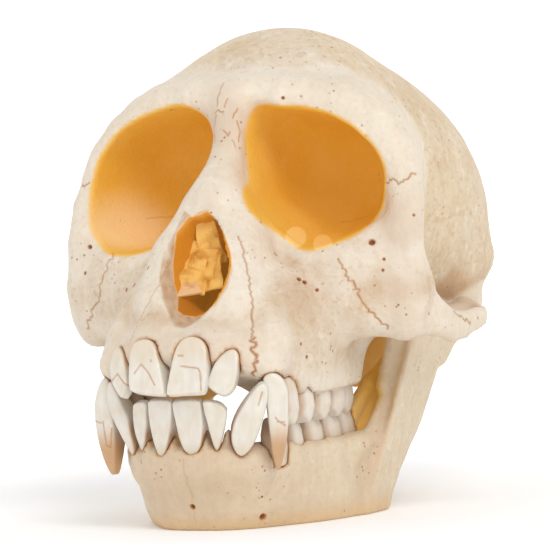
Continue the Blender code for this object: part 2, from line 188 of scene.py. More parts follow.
cranium = {
    "braincase": ((0, 42.6, 51.6), (27.0, 38.2, 25.7), (-21, 0, 0)),
    "forehead": ((0, 25, 61.0), (22.2, 22, 21.6), (-8, 0, 0)),
    "orbitCentres": ((15.4, 57.0), (-15.9, 57.0)),
    "orbitLeft": [(3.9, 70.1), (5.3, 69.2), (9.1, 68.5), (14.4, 68), (18.9, 66.4), (22.8, 63.6), (26, 59.5),
                  (26.6, 57.7), (26.3, 54.4), (25.6, 51.2), (23.9, 49.1), (21.4, 47.2), (18.8, 46.3),
                  (14.4, 45.2), (12.5, 45.5), (10.3, 47.4), (6.8, 50.6), (5.1, 52.3), (4.2, 54.5),
                  (3.6, 58.5), (3.2, 61.4), (3.2, 66.7)],
    "orbitRight": [(-8.3, 69.6), (-5.2, 66.5), (-3.9, 63.0), (-4.1, 59.1), (-5.4, 56), (-7, 52.8),
                   (-9.4, 48.8), (-12.4, 46.7), (-16.2, 45.4), (-20, 45.2), (-24.2, 45.8), (-27.4, 48.4),
                   (-28.2, 53.3), (-28, 59), (-27, 62), (-25, 64.4), (-20.2, 67.4), (-15.5, 68.8),
                   (-11.7, 69.6)],
    "noseCentre": (0.2, 42.5),
    "nose": [(-2.6, 51.2), (-1.2, 50.6), (1.2, 51.8), (3.0, 49.6), (4.6, 47.4), (5.4, 45.4), (6.4, 43.2),
             (6.5, 41.4), (6.0, 39.2), (5.2, 37.2), (3.6, 35.4), (1.0, 33.4), (-0.9, 33.6), (-3.0, 36.3),
             (-4.6, 39.4), (-4.9, 43), (-4.5, 46), (-3.6, 49)],
    "voxel": 0.58, "low": (-37, -29, 5), "high": (37, 83, 86),
}

# cheek teeth from front to back: x, y, half width along the row and half depth across it, in mm
upperCheekTeeth = [(14.1, -10.9, 2.4, 2.3), (14.3, -5.7, 2.45, 2.6), (14.2, 0.4, 3.2, 2.9),
                   (13.9, 7.0, 3.25, 3.0), (13.1, 13.2, 2.8, 2.7)]
lowerCheekTeeth = [(12.4, -11.0, 2.6, 1.9), (12.8, -5.6, 2.4, 2.1), (13.1, 0.6, 3.2, 2.6),
                   (13.3, 7.4, 3.3, 2.7), (13.4, 14.2, 3.4, 2.4)]


def braincaseField(p, h):
    bone = join(egg(p, *cranium["braincase"]), egg(p, *cranium["forehead"]), 7)
    bone = join(bone, egg(p, (0, 37, 38), (13, 24, 8), (4, 0, 0)), 7)
    bone = join(bone, egg(h, (17, 55, 41), (7.6, 13, 6), (8, 0, 8)), 6)
    # neck muscle field and the flatter skull base
    bone = both(bone, slab(p, (0, 60, 31.5), (0, 0.55, -0.835)), 5)
    bone = both(bone, slab(p, (0, 40, 31), (0, 0, -1)), 4)
    # ear capsule, mastoid and condyles
    bone = join(bone, egg(h, (14, 47, 34), (8, 5, 4.5), (0, 0, 35)), 3)
    bone = join(bone, egg(h, (21.5, 52, 34), (3.2, 5, 4)), 3)
    bone = join(bone, egg(h, (6.6, 57.5, 31), (2.6, 5, 2.8), (-15, 0, -25)), 1.5)
    # low ridge where the neck muscles ended
    ridge = np.abs(slab(p, (0, 60, 40), (0, 0.5, -0.87))) - 0.2
    bone = join(bone, both(ridge, bone - 0.5, 1.2), 1.5)
    return bone


def faceField(p, h):
    brow = [(0, 6.5, 71.0, 3.3), (8, 7.2, 70.8, 3.3), (14, 8.8, 70.0, 3.3), (19, 10, 68.2, 3.2),
            (23.2, 10.6, 65.2, 3.1), (26.0, 10.4, 61.8, 3.0), (28.1, 9.4, 57.6, 2.8), (29.4, 7.8, 53, 2.8),
            (29.4, 6.2, 47, 3.1), (29.4, 6.6, 40, 3.1)]
    bone = chain(h, brow)
    bone = join(bone, chain(h, [(9, 15, 73.5, 4), (17, 14, 69.5, 4), (23, 13, 64, 3.6)]), 5)
    bone = join(bone, chain(h, [(27, 11.5, 60, 3), (26.4, 12, 54, 3), (26, 10.5, 46, 3)]), 4)
    bone = join(bone, egg(h, (15, 17, 58), (12.8, 14, 13), (0, 0, 12)), 5)
    # bridge of the nose and the inner walls of the orbits
    bridge = [(0, 5.5, 70, 3.5), (0, 3.8, 64, 3.0), (0, 0.8, 59, 3.3), (0, -4.2, 53.5, 4.2)]
    bone = join(bone, chain(p, bridge), 3)
    wall = [(1, 9, 66, 3.4), (1.5, 7, 58, 4), (4, 4, 51, 5.2), (9, 3.5, 45.5, 4.5)]
    bone = join(bone, chain(h, wall), 3)
    # muzzle, with the tooth ridge along its foot
    muzzle = [(1, -1.5, 50, 6.6), (4, -6.5, 43, 6.6), (5.2, -11, 36, 6.4), (4.4, -15, 31, 5.6)]
    muzzle = join(chain(h, muzzle, blend=1.5), egg(h, (8.5, 1.5, 31), (10.2, 16.5, 13), (0, 0, 6)), 4)
    ridge = both(oval(h[0], h[1], (0, 8), (17.6, 31.6), 2.5), slab(h, (0, 0, 32), (0, 0, 1)), 4)
    ridge = both(ridge, slab(h, (0, 14.7, 22), (0, 0.87, -0.49)), 1.5)
    ridge = both(ridge, slab(h, (0, 0, 21.8), (0, 0, -1)), 1)
    ridge = both(ridge, slab(h, (0, -12, 23.4), (0, -0.38, -0.92)), 2)
    bone = join(bone, join(muzzle, ridge, 5), 4)
    bone = join(bone, chain(h, [(0, -20.6, 28.6, 1.5), (6.6, -19.6, 28.2, 1.4), (10.9, -16.8, 27, 1.6)]), 2)
    # root of the long canine, then the cheek and the floor of the orbit above it
    root = [(13.6, -15.2, 27.2, 2.9), (13.2, -12.6, 31.5, 2.7), (12.2, -8.6, 37, 2.1), (11.4, -6, 41, 1.7)]
    bone = join(bone, chain(h, root, (1, 1.15, 1)), 3)
    bone = join(bone, egg(h, (19.5, 3.4, 38), (14, 5.2, 8.2), (0, 0, 22)), 4)
    bone = join(bone, egg(h, (27.8, 7.4, 36.5), (4.9, 4.2, 7)), 4)
    bone = join(bone, egg(h, (20, 9, 41), (10, 7, 6), (0, 0, 20)), 4)
    bone = join(bone, egg(p, (0, 10, 42), (15, 14, 9)), 4)
    bone = join(bone, chain(h, [(13.5, 11, 30, 4.2), (15.5, 18.5, 33.5, 4.6), (17, 24, 36, 5)]), 3)
    return join(bone, chain(h, [(14.5, 3.5, 43.5, 3.4), (21, 5, 43.6, 3.6), (26.4, 7.5, 46.5, 3.2)]), 3)


def orbitField(p):
    x, y, z = p
    made = None
    for side, outline, centre in ((1, cranium["orbitLeft"], cranium["orbitCentres"][0]),
                                  (-1, cranium["orbitRight"], cranium["orbitCentres"][1])):
        depth = y - 3.0
        rim = outlineRadius(outline, centre)
        # the walls run inwards towards the back of the socket
        shift = side * np.where(depth > 0, -0.13, -0.2) * depth
        ring = opening(x - shift, z, centre, rim) + np.maximum(depth, 0) * 0.10
        bowl = egg(p, (side * 14.0, 4, 57), (17.8, 22, 17), (0, 0, side * 14))
        socket = both(ring, bowl, 7)
        made = socket if made is None else join(made, socket, 0.3)
    return made


def noseField(p):
    x, y, z = p
    rim = outlineRadius(cranium["nose"], cranium["noseCentre"])
    # the walls close in behind the rim, then the passage runs back
    depth = np.maximum(y + 15 + (z - 42) * -0.45, 0)
    ring = opening(x - 0.12 * depth, z, cranium["noseCentre"], rim) + 0.2 * depth
    ring = both(ring, slab(p, (0, -3, 50), (0, 1, 0.4)), 2)
    return join(ring, egg(p, (0.6, 1, 40), (4.8, 15, 6.4)), 2)


def craniumField(p, teeth=True):
    h = half(p)
    bone = join(braincaseField(p, h), faceField(p, h), 4)
    arch = [(29.5, 7.5, 36, 2.9), (31.6, 12, 33.2, 1.8), (32.3, 18, 31.2, 1.4), (32.3, 24, 31.0, 1.2),
            (32.3, 29.5, 31.5, 0.95), (32.1, 33.5, 31.8, 0.85), (29.5, 38.5, 31.6, 1.1),
            (24.5, 43.5, 32.4, 1.4)]
    bone = join(bone, chain(h, arch, (1, 1, 2.0), 0.4), 2.5)
    bone = join(bone, egg(h, (24, 42, 32.5), (5.5, 5.5, 1.3)), 2.5)
    # wings behind the palate
    wing = both(slab(h, (12.9, 22, 0), (1, -0.26, 0)), slab(h, (11.4, 22, 0), (-1, 0.26, 0)), 0.3)
    wing = both(wing, slab(h, (0, 34, 30), (0, 1, -0.3)), 3)
    wing = both(wing, egg(h, (12.5, 24, 33), (9, 14.5, 12.4)), 1)
    bone = join(bone, wing, 2)
    bone = bone + 0.10 * wobble(p, 9, 1) + 0.05 * wobble(p, 3.5, 2)
    # the inner edge of each orbit rolls over softly, and the rest of its rim is crisp
    soften = 0.9 + 3.5 * smooth(-h[0], -9, -5) * smooth(p[2], 52, 58)
    bone = carve(bone, orbitField(p), soften)
    bone = carve(bone, noseField(p), 0.6)
    # palate, throat opening and foramen magnum
    bone = carve(bone, egg(p, (0, 0, 21.5), (9.6, 18, 6.5)), 2)
    bone = carve(bone, egg(p, (0, 24, 31), (5.5, 10, 5), (10, 0, 0)), 1.5)
    bone = carve(bone, limb(p, (0, 65, 27, 6.2), (0, 61.5, 38, 5.8)), 1.2)
    if teeth:
        bone = carve(bone, teethField(p, "upper") - socketGap, 0.3)
    return bone


# teeth

def crown(p, gum, edge, side, widths, depths, cusps, cuspDepth):
    # side points along the tooth row; widths and depths are half sizes, evenly spaced from gum to edge
    gum = Vector(gum)
    axis = Vector(edge) - gum
    length = axis.length
    axis.normalize()
    side = (Vector(side) - axis * axis.dot(Vector(side))).normalized()
    front = axis.cross(side)
    local = p - column(gum)
    down = (local * column(axis)).sum(0)
    along = np.clip(down / length, 0, 1)
    u = (local * column(side)).sum(0)
    v = (local * column(front)).sum(0)
    stops = np.linspace(0, 1, len(widths))
    width = np.interp(along, stops, widths)
    depth = np.interp(along, stops, depths)
    ring = (np.abs(u / width) ** 2.8 + np.abs(v / depth) ** 2.8) ** (1 / 2.8)
    wall = (ring - 1) * np.minimum(depth, width)
    # the cusps stand out between grooves
    foot = down - length + cuspDepth * (0.5 + 0.5 * np.cos(math.pi * (cusps * (u / width + 1))))
    made = both(wall, -down, 1)
    return both(made, foot, 1).astype(np.float32)


def upperCheekTooth(p, k):
    x, y, width, depth = upperCheekTeeth[k]
    wide = (0.84 * width, 0.96 * width, 1.0 * width, 0.74 * width)
    deep = (0.86 * depth, 1.0 * depth, 1.0 * depth, 0.7 * depth)
    return crown(p, (x - 0.5, y, 24.6), (x + 0.2, y, 16.7), (0, 1, 0), wide, deep, 1, 1.3)


def lowerCheekTooth(p, k):
    x, y, width, depth = lowerCheekTeeth[k]
    wide = (0.72 * width, 0.98 * width, 1.0 * width, 0.72 * width)
    deep = (0.85 * depth, 1.0 * depth, 0.9 * depth, 0.55 * depth)
    return crown(p, (x, y, 10), (x - 0.7, y, 18.2), (0, 1, 0), wide, deep, 2, 0.8)


socketGap = 0.05     # mm between tooth and bone

# front teeth: a plane from the gum to the edge, its direction along the row, half thicknesses from root to
# edge, and the outline and cracks as pixels of the photograph
frontTeeth = {
    "upperCentralLeft": {
        "gum": (3.75, -20.8, 31.8), "edge": (3.2, -24.2, 22.8),
        "row": (1, 0.12, 0), "thick": (2.2, 2.0, 1.4, 0.8),
        "outline": [(189, 340.5), (197, 339), (205, 342), (209.5, 348), (211, 358), (208.5, 375),
                    (206, 391), (204, 394.5), (185, 395), (169, 396.5), (167, 394), (171, 378),
                    (177, 355), (183, 344.5)],
        "cracks": [[(184, 369), (201, 371), (203, 375), (203, 392)], [(182, 359), (187, 359)]]},
    "upperCentralRight": {
        "gum": (-3.95, -20.8, 31.9), "edge": (-3.7, -24.2, 22.7),
        "row": (1, -0.12, 0), "thick": (2.2, 2.0, 1.4, 0.8),
        "outline": [(143, 343.5), (150, 341.5), (157, 343), (161.5, 349), (163, 360), (165.5, 380),
                    (166, 394.5), (163, 396.5), (146, 395), (133, 393), (131.5, 388), (132.5, 375),
                    (134.5, 358), (138, 348)],
        "cracks": [[(139, 376), (146.7, 367), (153, 375), (158, 387)], [(156.5, 363.5), (156.9, 364.6)]]},
    "upperLateralLeft": {
        "gum": (10.2, -18.5, 30.2), "edge": (8.2, -22.1, 22.4),
        "row": (1, 0.3, 0), "thick": (1.7, 1.7, 1.3, 0.7),
        "outline": [(227, 353), (233, 350.5), (238, 352.5), (240.5, 358), (239, 372), (236, 386),
                    (231, 393.5), (224, 397), (217, 393.5), (208, 387.5), (207.5, 384), (212, 373),
                    (217, 362)],
        "cracks": []},
    "upperLateralRight": {
        "gum": (-10.0, -18.7, 30.6), "edge": (-9.4, -22.2, 21.9),
        "row": (1, -0.45, 0), "thick": (1.7, 1.7, 1.3, 0.7),
        "outline": [(120.5, 353), (125, 347.5), (129.5, 354), (131.5, 366), (131, 385), (127.5, 394),
                    (124, 400), (120, 393), (116, 383), (116, 368)],
        "cracks": [[(118, 383), (124, 376), (130, 386)]]},
    "lowerCentralLeft": {
        "gum": (2.1, -17.7, 12.6), "edge": (2.3, -21.8, 21.9),
        "row": (1, 0.1, 0), "thick": (1.6, 1.5, 1.1, 0.6),
        "outline": [(173, 400), (187, 398.7), (200.5, 399), (201.5, 402), (204, 420), (205, 436),
                    (201.5, 448), (195, 453.5), (188, 449), (183, 441), (177, 420), (173, 404)],
        "cracks": []},
    "lowerCentralRight": {
        "gum": (-2.9, -17.7, 12.8), "edge": (-2.4, -21.8, 21.9),
        "row": (1, -0.1, 0), "thick": (1.6, 1.5, 1.1, 0.6),
        "outline": [(149.5, 399.5), (160, 398.7), (172, 399.5), (173, 404), (173.5, 420), (173, 436),
                    (169, 452), (165.5, 457.5), (161, 450), (155.5, 434), (151.5, 418), (149.3, 403)],
        "cracks": []},
    "lowerLateralLeft": {
        "gum": (6.1, -17.0, 13.2), "edge": (6.5, -20.9, 21.5),
        "row": (1, 0.3, 0), "thick": (1.5, 1.4, 1.0, 0.6),
        "outline": [(203, 400.5), (212, 401), (220, 402), (227, 409), (227.3, 413), (225, 430),
                    (221, 444), (217.5, 449), (213, 440), (207, 418), (202.5, 403)],
        "cracks": []},
    "lowerLateralRight": {
        "gum": (-6.8, -17.0, 13.4), "edge": (-6.3, -20.9, 21.9),
        "row": (1, -0.3, 0), "thick": (1.5, 1.4, 1.0, 0.6),
        "outline": [(135.5, 402), (142, 400.5), (148, 401.5), (149, 412), (150.5, 432), (149.5, 444),
                    (147, 449), (142, 438), (137.5, 425), (135, 408)],
        "cracks": []},
    "upperCanineLeft": {
        "gum": (13.7, -15.1, 27), "edge": (14.9, -14.9, 9.8),
        "row": (0.9, 0.43, 0), "thick": (2.6, 2.8, 2.1, 0.9),
        "outline": [(264, 374), (270, 370), (278, 373), (285, 380), (288.5, 390), (288.7, 410),
                    (288, 430), (285, 452), (281, 467), (278, 471.5), (275.5, 468), (271, 448),
                    (268, 420), (265, 395), (262, 380)],
        "cracks": [[(275, 417), (279, 421), (285, 425)], [(277, 421), (284, 421.5)]]},
    "upperCanineRight": {
        "gum": (-13.7, -15.3, 27), "edge": (-14.6, -15.9, 9.0),
        "row": (1, -0.1, 0), "thick": (2.6, 2.8, 2.1, 0.9),
        "outline": [(109, 378), (114, 376), (118, 384), (120.5, 400), (121, 425), (120, 450),
                    (118, 470), (116, 475.5), (112.5, 473), (106, 455), (101.5, 425), (101.5, 405),
                    (104.5, 388)],
        "cracks": [[(102, 420), (109, 422.5)], [(111, 421), (113, 445), (117, 447), (119, 428)]]},
    "lowerCanineLeft": {
        "gum": (9.3, -15.6, 11.6), "edge": (13.0, -18.3, 23.8),
        "row": (0.9, 0.43, 0), "thick": (2.0, 2.1, 1.7, 0.9),
        "outline": [(259, 383), (264, 382), (268, 387), (267.5, 400), (262, 420), (254.5, 440),
                    (247, 450), (240, 453.5), (233.5, 447), (230, 434), (233, 421), (240, 407),
                    (249, 394)],
        "cracks": [[(262, 390), (258, 402)]]},
    "lowerCanineRight": {
        "gum": (-9.6, -15.6, 12.0), "edge": (-13.4, -18.6, 24.4),
        "row": (1, -0.1, 0), "thick": (2.0, 2.1, 1.7, 0.9),
        "outline": [(109, 383), (113, 380), (117, 386), (124, 398), (132, 412), (136.5, 430),
                    (140.5, 446), (138.5, 453), (134, 447), (126, 432), (116, 414), (110, 398)],
        "cracks": []},
}


def rounded(corners):
    # cutting the corners twice turns a plain outline into a smooth one
    for again in range(2):
        ahead = np.roll(corners, -1, 0)
        corners = np.stack([corners * 0.75 + ahead * 0.25, corners * 0.25 + ahead * 0.75], 1).reshape(-1, 2)
    return corners


for tooth in frontTeeth.values():
    gum = Vector(tooth["gum"])
    axis = (Vector(tooth["edge"]) - gum).normalized()
    side = (Vector(tooth["row"]) - axis * axis.dot(Vector(tooth["row"]))).normalized()
    tooth["axes"] = (side, axis, axis.cross(side))
    tooth["length"] = (Vector(tooth["edge"]) - gum).length
    for part in ("outline", "cracks"):
        flat = []
        for line in tooth[part] if part == "cracks" else [tooth[part]]:
            places = [onPlane(px, py, gum, tooth["axes"][2]) - gum for px, py in line]
            flat.append(np.array([(q.dot(side), q.dot(axis)) for q in places]))
        tooth[part] = flat if part == "cracks" else rounded(flat[0])
    middle = tooth["outline"].mean(0)
    tooth["middle"] = gum + side * middle[0] + axis * middle[1]
    tooth["reach"] = np.linalg.norm(tooth["outline"] - middle, axis=1).max() + 2.5


def outlineDistance(u, v, corners):
    # distance to a closed outline, negative inside
    away = np.full(u.shape, 1e9)
    inside = np.zeros(u.shape, bool)
    for (ax, ay), (bx, by) in zip(corners, np.roll(corners, -1, 0)):
        ex, ey = bx - ax, by - ay
        t = np.clip(((u - ax) * ex + (v - ay) * ey) / (ex * ex + ey * ey + 1e-9), 0, 1)
        away = np.minimum(away, (u - ax - ex * t) ** 2 + (v - ay - ey * t) ** 2)
        crosses = (ay > v) != (by > v)
        inside ^= crosses & (u < ex * (v - ay) / (ey if abs(ey) > 1e-9 else 1e-9) + ax)
    return np.where(inside, -1, 1) * np.sqrt(away)


def frontTooth(p, tooth):
    # only points near the tooth need its real distance
    made = np.sqrt(((p - column(tooth["middle"])) ** 2).sum(0)) - tooth["reach"] + 2
    close = made < 2
    local = p[:, close] - column(tooth["gum"])
    u, v, w = [(local * column(way)).sum(0) for way in tooth["axes"]]
    thick = np.interp(v / tooth["length"], np.linspace(0, 1, 4), tooth["thick"])
    edge = outlineDistance(u, v, tooth["outline"])
    made[close] = both(edge, np.abs(w) - thick, np.maximum(0.35, 0.5 * thick))
    return made.astype(np.float32)


def teethField(p, row):
    h = half(p)
    teeth = np.full(p.shape[1], 99, np.float32)
    for name, tooth in frontTeeth.items():
        if name.startswith(row):
            teeth = np.minimum(teeth, frontTooth(p, tooth))
    for k in range(5):
        teeth = np.minimum(teeth, upperCheekTooth(h, k) if row == "upper" else lowerCheekTooth(h, k))
    return teeth


# mandible

# peaks of bone between the front teeth, each a pixel and the y in mm at which it stands, and the front of the
# upright branch, each a pixel and its x
mandible = {
    "height": 14.5, "voxel": 0.45, "low": (-31, -26, -1), "high": (31, 46, 40), "peakSize": (0.9, 1.6, 2.6),
    "peaks": ((149.5, 448, -17.2), (174, 449, -17.9), (206, 445, -17.6), (229, 445, -16.2),
              (138, 448, -15.9)),
    "front": ((384.5, 384, 19.4), (388, 369, 19.9), (391.5, 352, 20.6), (394, 338, 21.2)), "frontRadius": 1.3,
}
peaks = [tuple(onPlane(px, py, (0, y, 0), Vector((0, 1, 0)))) for px, py, y in mandible["peaks"]]
branchFront = [(*onPlane(px, py, (x, 0, 0), Vector((1, 0, 0))), mandible["frontRadius"])
               for px, py, x in mandible["front"]]


def mandibleField(p, teeth=True):
    h = half(p)
    lean = h[1] - 1.5 + h[2] * 0.2
    body = oval(h[0], lean, (0, 22), (18.7, 40.3), 2.4)
    inner = egg(np.stack([h[0], lean, 0 * lean]), (0, 24, 0), (15.2, 35.5, 1))
    body = carve(body, inner, 1.5)
    body = both(body, slab(h, (0, 0, mandible["height"] - 0.8), (0, 0, 1)), 2.5)
    body = both(body, slab(h, (0, -16.9, 1), (0, -0.75, -0.66)), 3)
    body = both(body, slab(h, (10.0, -13.2, 1.6), (0.66, -0.42, -0.62)), 4)
    body = both(body, slab(h, (0, 9, -0.1), (0, 0.05, -1)), 0.8)
    bone = both(body, slab(h, (0, 21.5, 0), (0, 1, 0)), 3)
    roots = [(0, -16.9, 10.9, 2.2), (5.4, -16.3, 10.9, 2.2), (9.4, -14.0, 10.8, 2.2), (12.2, -9, 10.8, 1.9)]
    bone = join(bone, chain(h, roots), 5)
    # upright branch: a plate between two sloping faces, cut to its outline
    plate = both(slab(h, (19.0, 0, 3), (1, 0, -0.23)), slab(h, (16.2, 0, 3), (-1, 0, 0.2)), 1)
    plate = both(plate, slab(h, (20.4, 20.6, 23), (-0.72, -0.62, 0.3)), 2)
    plate = both(plate, slab(h, (0, 22.3, 1.7), (0, 0.7, -0.72)), 6)
    plate = both(plate, slab(h, (0, 34.9, 21.5), (0, 1, -0.36)), 4)
    plate = both(plate, slab(h, (0, 0, 32), (0, 0, 1)), 2)
    plate = carve(plate, egg(h, (23, 29.6, 36), (6, 6.4, 5.4)), 1)
    plate = both(plate, slab(h, (0, 0, -0.1), (0, 0, -1)), 2)
    bone = join(bone, plate, 5)
    # front process and condyle
    process = [(22.0, 23, 26, 1.4), (22.8, 23.5, 31, 1.2), (23.3, 24.5, 35.5, 0.9)]
    bone = join(bone, chain(h, process, (1, 1.9, 1)), 1.5)
    bone = join(bone, limb(h, (22.6, 36, 25, 1.7), (23.4, 38.4, 28, 1.8)), 2)
    bone = join(bone, egg(h, (23.4, 38.8, 29.2), (4.3, 2.1, 1.7)), 1.5)
    # the hollow front of the branch lies between an outer and an inner ridge
    outer = [(16.6, 8, 9.5, 1.8), (18.2, 14.6, 13, 1.2), (19.3, 18.0, 18, 1.0), (20.8, 21.6, 24, 0.9),
             (22.3, 21.6, 29.5, 0.9)]
    bone = join(bone, chain(h, outer), 1.5)
    inner = [(13.4, 13, 12.6, 1.9), (14.2, 16.9, 16.8, 1.4), (15.7, 20.9, 21.2, 1.3), (17.4, 25.7, 24.8, 1.2),
             (18.8, 29, 28.2, 1.2), (19.6, 30.6, 31.8, 1.1)]
    bone = join(bone, chain(h, inner), 1.5)
    hollow = [(16.0, 17, 12, 2.0), (16.8, 20.6, 17.2, 1.4), (18.2, 23.6, 22, 1.3),
              (20.0, 26.2, 27, 1.3), (20.8, 27.6, 31.6, 1.3)]
    bone = join(bone, chain(h, hollow), 2)
    bone = join(bone, chain(h, branchFront), 3)
    for place in peaks:
        bone = join(bone, egg(p, place, mandible["peakSize"]), 1.2)
    bone = bone + 0.10 * wobble(p, 8, 3) + 0.05 * wobble(p, 3, 4)
    bone = np.maximum(bone, -p[2])
    if teeth:
        bone = carve(bone, teethField(p, "lower") - socketGap, 0.3)
    return bone


# meshing

def sculpt(field, low, high, voxel):
    # a coarse pass finds the blocks near the surface, and only those are filled finely
    step = 4
    batch = 400000
    band = 3.0     # distances are cut off at this many mm
    size = voxel * step
    counts = [math.ceil((b - a) / size) for a, b in zip(low, high)]
    axes = [a + (np.arange(n) + 0.5) * size - voxel / 2 for a, n in zip(low, counts)]
    grid = np.stack(np.meshgrid(*axes, indexing="ij")).reshape(3, -1).astype(np.float32)
    coarse = field(grid).reshape(counts)
    near = np.abs(coarse) < size * 1.3 + 1.0
    block = np.where(coarse > 0, band, -band).astype(np.float32)
    for axis in range(3):
        near = near.repeat(step, axis)
        block = block.repeat(step, axis)
    places = np.stack(np.nonzero(near)).astype(np.float32) * voxel + column(low)
    values = np.empty(places.shape[1], np.float32)
    for start in range(0, len(values), batch):
        values[start:start + batch] = field(places[:, start:start + batch])
    block[near] = np.clip(values, -band, band)
    cloud = openvdb.FloatGrid(band)
    cloud.copyFromArray(block)
    # with no adaptivity, the mesh is all quads
    points, _, quads = cloud.convertToPolygons(0.0, 0.0)
    points = points * voxel + np.array(low)
    # the volume of the closed surface is negative when its faces point inwards
    a, b, c, d = (points[quads[:, k]] for k in range(4))
    volume = (a * np.cross(b, c)).sum() + (a * np.cross(c, d)).sum()
    return points, quads if volume > 0 else quads[:, ::-1]


def meshOf(name, points, faces):
    mesh = bpy.data.meshes.new(name)
    mesh.from_pydata([tuple(p) for p in points.tolist()], [], [tuple(f) for f in faces.tolist()])
    mesh.update()
    return mesh


def inMetres(points):
    moved = np.array(points, float)
    moved[:, 1] -= originY
    return moved / 1000


def pieceOf(name, mesh, material, slot):
    piece = bpy.data.objects.new(name, mesh)
    bpy.context.scene.collection.objects.link(piece)
    mesh.materials.append(material)
    mesh.polygons.foreach_set("use_smooth", [True] * len(mesh.polygons))
    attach(piece, "root")
    return piece


# scoring the bones: sutures, cracks and vessel holes

def alongLine(tree, line, zigzag, size, seed, photo=True):
    # points every 0.15 mm along a line on the bone, with the zigzag of a suture. The line is pixels of the
    # photograph, or places in mm
    rng = np.random.default_rng(seed)
    step = 1.5 if photo else 0.8
    dense = []
    for a, b in zip(line, line[1:]):
        n = max(2, int(math.dist(a, b) / step))
        dense += [np.array(a) + (np.array(b) - np.array(a)) * t / n for t in range(n)]
    dense.append(line[-1])
    places = [seenAt(tree, *q) if photo else tree.find_nearest(Vector(q))[0] for q in dense]
    places = [q for q in places if q is not None]
    kept = places[:1]
    for q in places[1:]:
        # a step onto something behind ends the line there
        if (q - kept[-1]).length < 3:
            kept.append(q)
    points = np.array(kept)
    run = np.concatenate([[0], np.cumsum(np.linalg.norm(np.diff(points, axis=0), axis=1))])
    if len(points) < 3 or run[-1] < 0.5:
        return np.zeros((0, 3))
    at = np.arange(0, run[-1], 0.15)
    middle = np.stack([np.interp(at, run, points[:, k]) for k in range(3)], 1)
    way = np.gradient(middle, axis=0)
    way /= np.linalg.norm(way, axis=1)[:, None] + 1e-9
    knots = np.arange(0, run[-1] + size, size * 0.5)
    wave = np.interp(at, knots, rng.uniform(-1, 1, len(knots)) * np.where(np.arange(len(knots)) % 2, 1, -1.0))
    normals = np.array([tree.find_nearest(Vector(q))[1] for q in middle])
    return middle + np.cross(way, normals) * (wave * zigzag)[:, None]


def treeOf(spots):
    tree = KDTree(len(spots))
    for k, spot in enumerate(spots):
        tree.insert(spot, k)
    tree.balance()
    return tree


def subdivideNear(mesh, spots, reach, rounds):
    # finer faces only where a fine line, a hole or a sharp edge of colour will be
    tree = treeOf(spots)
    work = bmesh.new()
    work.from_mesh(mesh)
    for turn in range(rounds):
        limit = reach * (1 if turn == 0 else 0.7)
        near = {v for v in work.verts if tree.find(v.co)[2] < limit}
        edges = [e for e in work.edges if e.verts[0] in near or e.verts[1] in near]
        bmesh.ops.subdivide_edges(work, edges=edges, cuts=1, use_grid_fill=True, smooth=0.0)
    bmesh.ops.triangulate(work, faces=[f for f in work.faces if len(f.verts) > 4])
    work.to_mesh(mesh)
    work.free()


def vertexArray(mesh, kind="co"):
    flat = np.empty(len(mesh.vertices) * 3)
    if kind == "co":
        mesh.vertices.foreach_get("co", flat)
    else:
        mesh.vertex_normals.foreach_get("vector", flat)
    return flat.reshape(-1, 3)


def store(mesh, name, values):
    layer = mesh.attributes.new(name, "FLOAT", "POINT")
    layer.data.foreach_set("value", np.asarray(values, np.float32))


def score(mesh, lines, holes):
    # lines: (points, width, depth, shade). holes: (place, radius, depth, shade)
    points = vertexArray(mesh)
    normals = vertexArray(mesh, "normal")
    spots = np.concatenate([line[0] for line in lines if len(line[0])])
    counts = [len(line[0]) for line in lines]
    width, depth, shade = [np.repeat([line[k] for line in lines], counts) for k in (1, 2, 3)]
    tree = treeOf(spots)
    found = np.array([tree.find(q)[1:] for q in points.tolist()])
    away, which = found[:, 1], found[:, 0].astype(int)
    cut = np.exp(-(away / width[which]) ** 2)
    seam = np.exp(-(away / (width[which] * 1.25)) ** 2) * shade[which]
    push = -depth[which] * cut
    pit = np.zeros(len(points))
    for place, radius, deep, dark in holes:
        stretch = np.linalg.norm(points - np.array(place), axis=1) / radius
        close = stretch < 1.6
        push[close] -= deep * smooth(1.15 - stretch[close], 0, 0.75)
        pit[close] = np.maximum(pit[close], dark * smooth(1.35 - stretch[close], 0, 0.6))
    mesh.vertices.foreach_set("co", (points + normals * push[:, None]).ravel())
    store(mesh, "seam", seam)
    store(mesh, "pit", pit)


# materials

def linear(hexColour):
    parts = [int(hexColour[k:k + 2], 16) / 255 for k in (1, 3, 5)]
    return (*(c / 12.92 if c <= 0.04045 else ((c + 0.055) / 1.055) ** 2.4 for c in parts), 1)


def node(tree, kind, inputs=None, out=0, **settings):
    made = tree.nodes.new(kind)
    for name, value in settings.items():
        setattr(made, name, value)
    for name, value in (inputs or {}).items():
        if isinstance(value, bpy.types.NodeSocket):
            tree.links.new(value, made.inputs[name])
        else:
            made.inputs[name].default_value = value
    return made.outputs[out]


def blankMaterial(name):
    material = bpy.data.materials.new(name)
    material.use_nodes = True
    tree = material.node_tree
    shader = tree.nodes["Principled BSDF"]
    return material, tree, shader


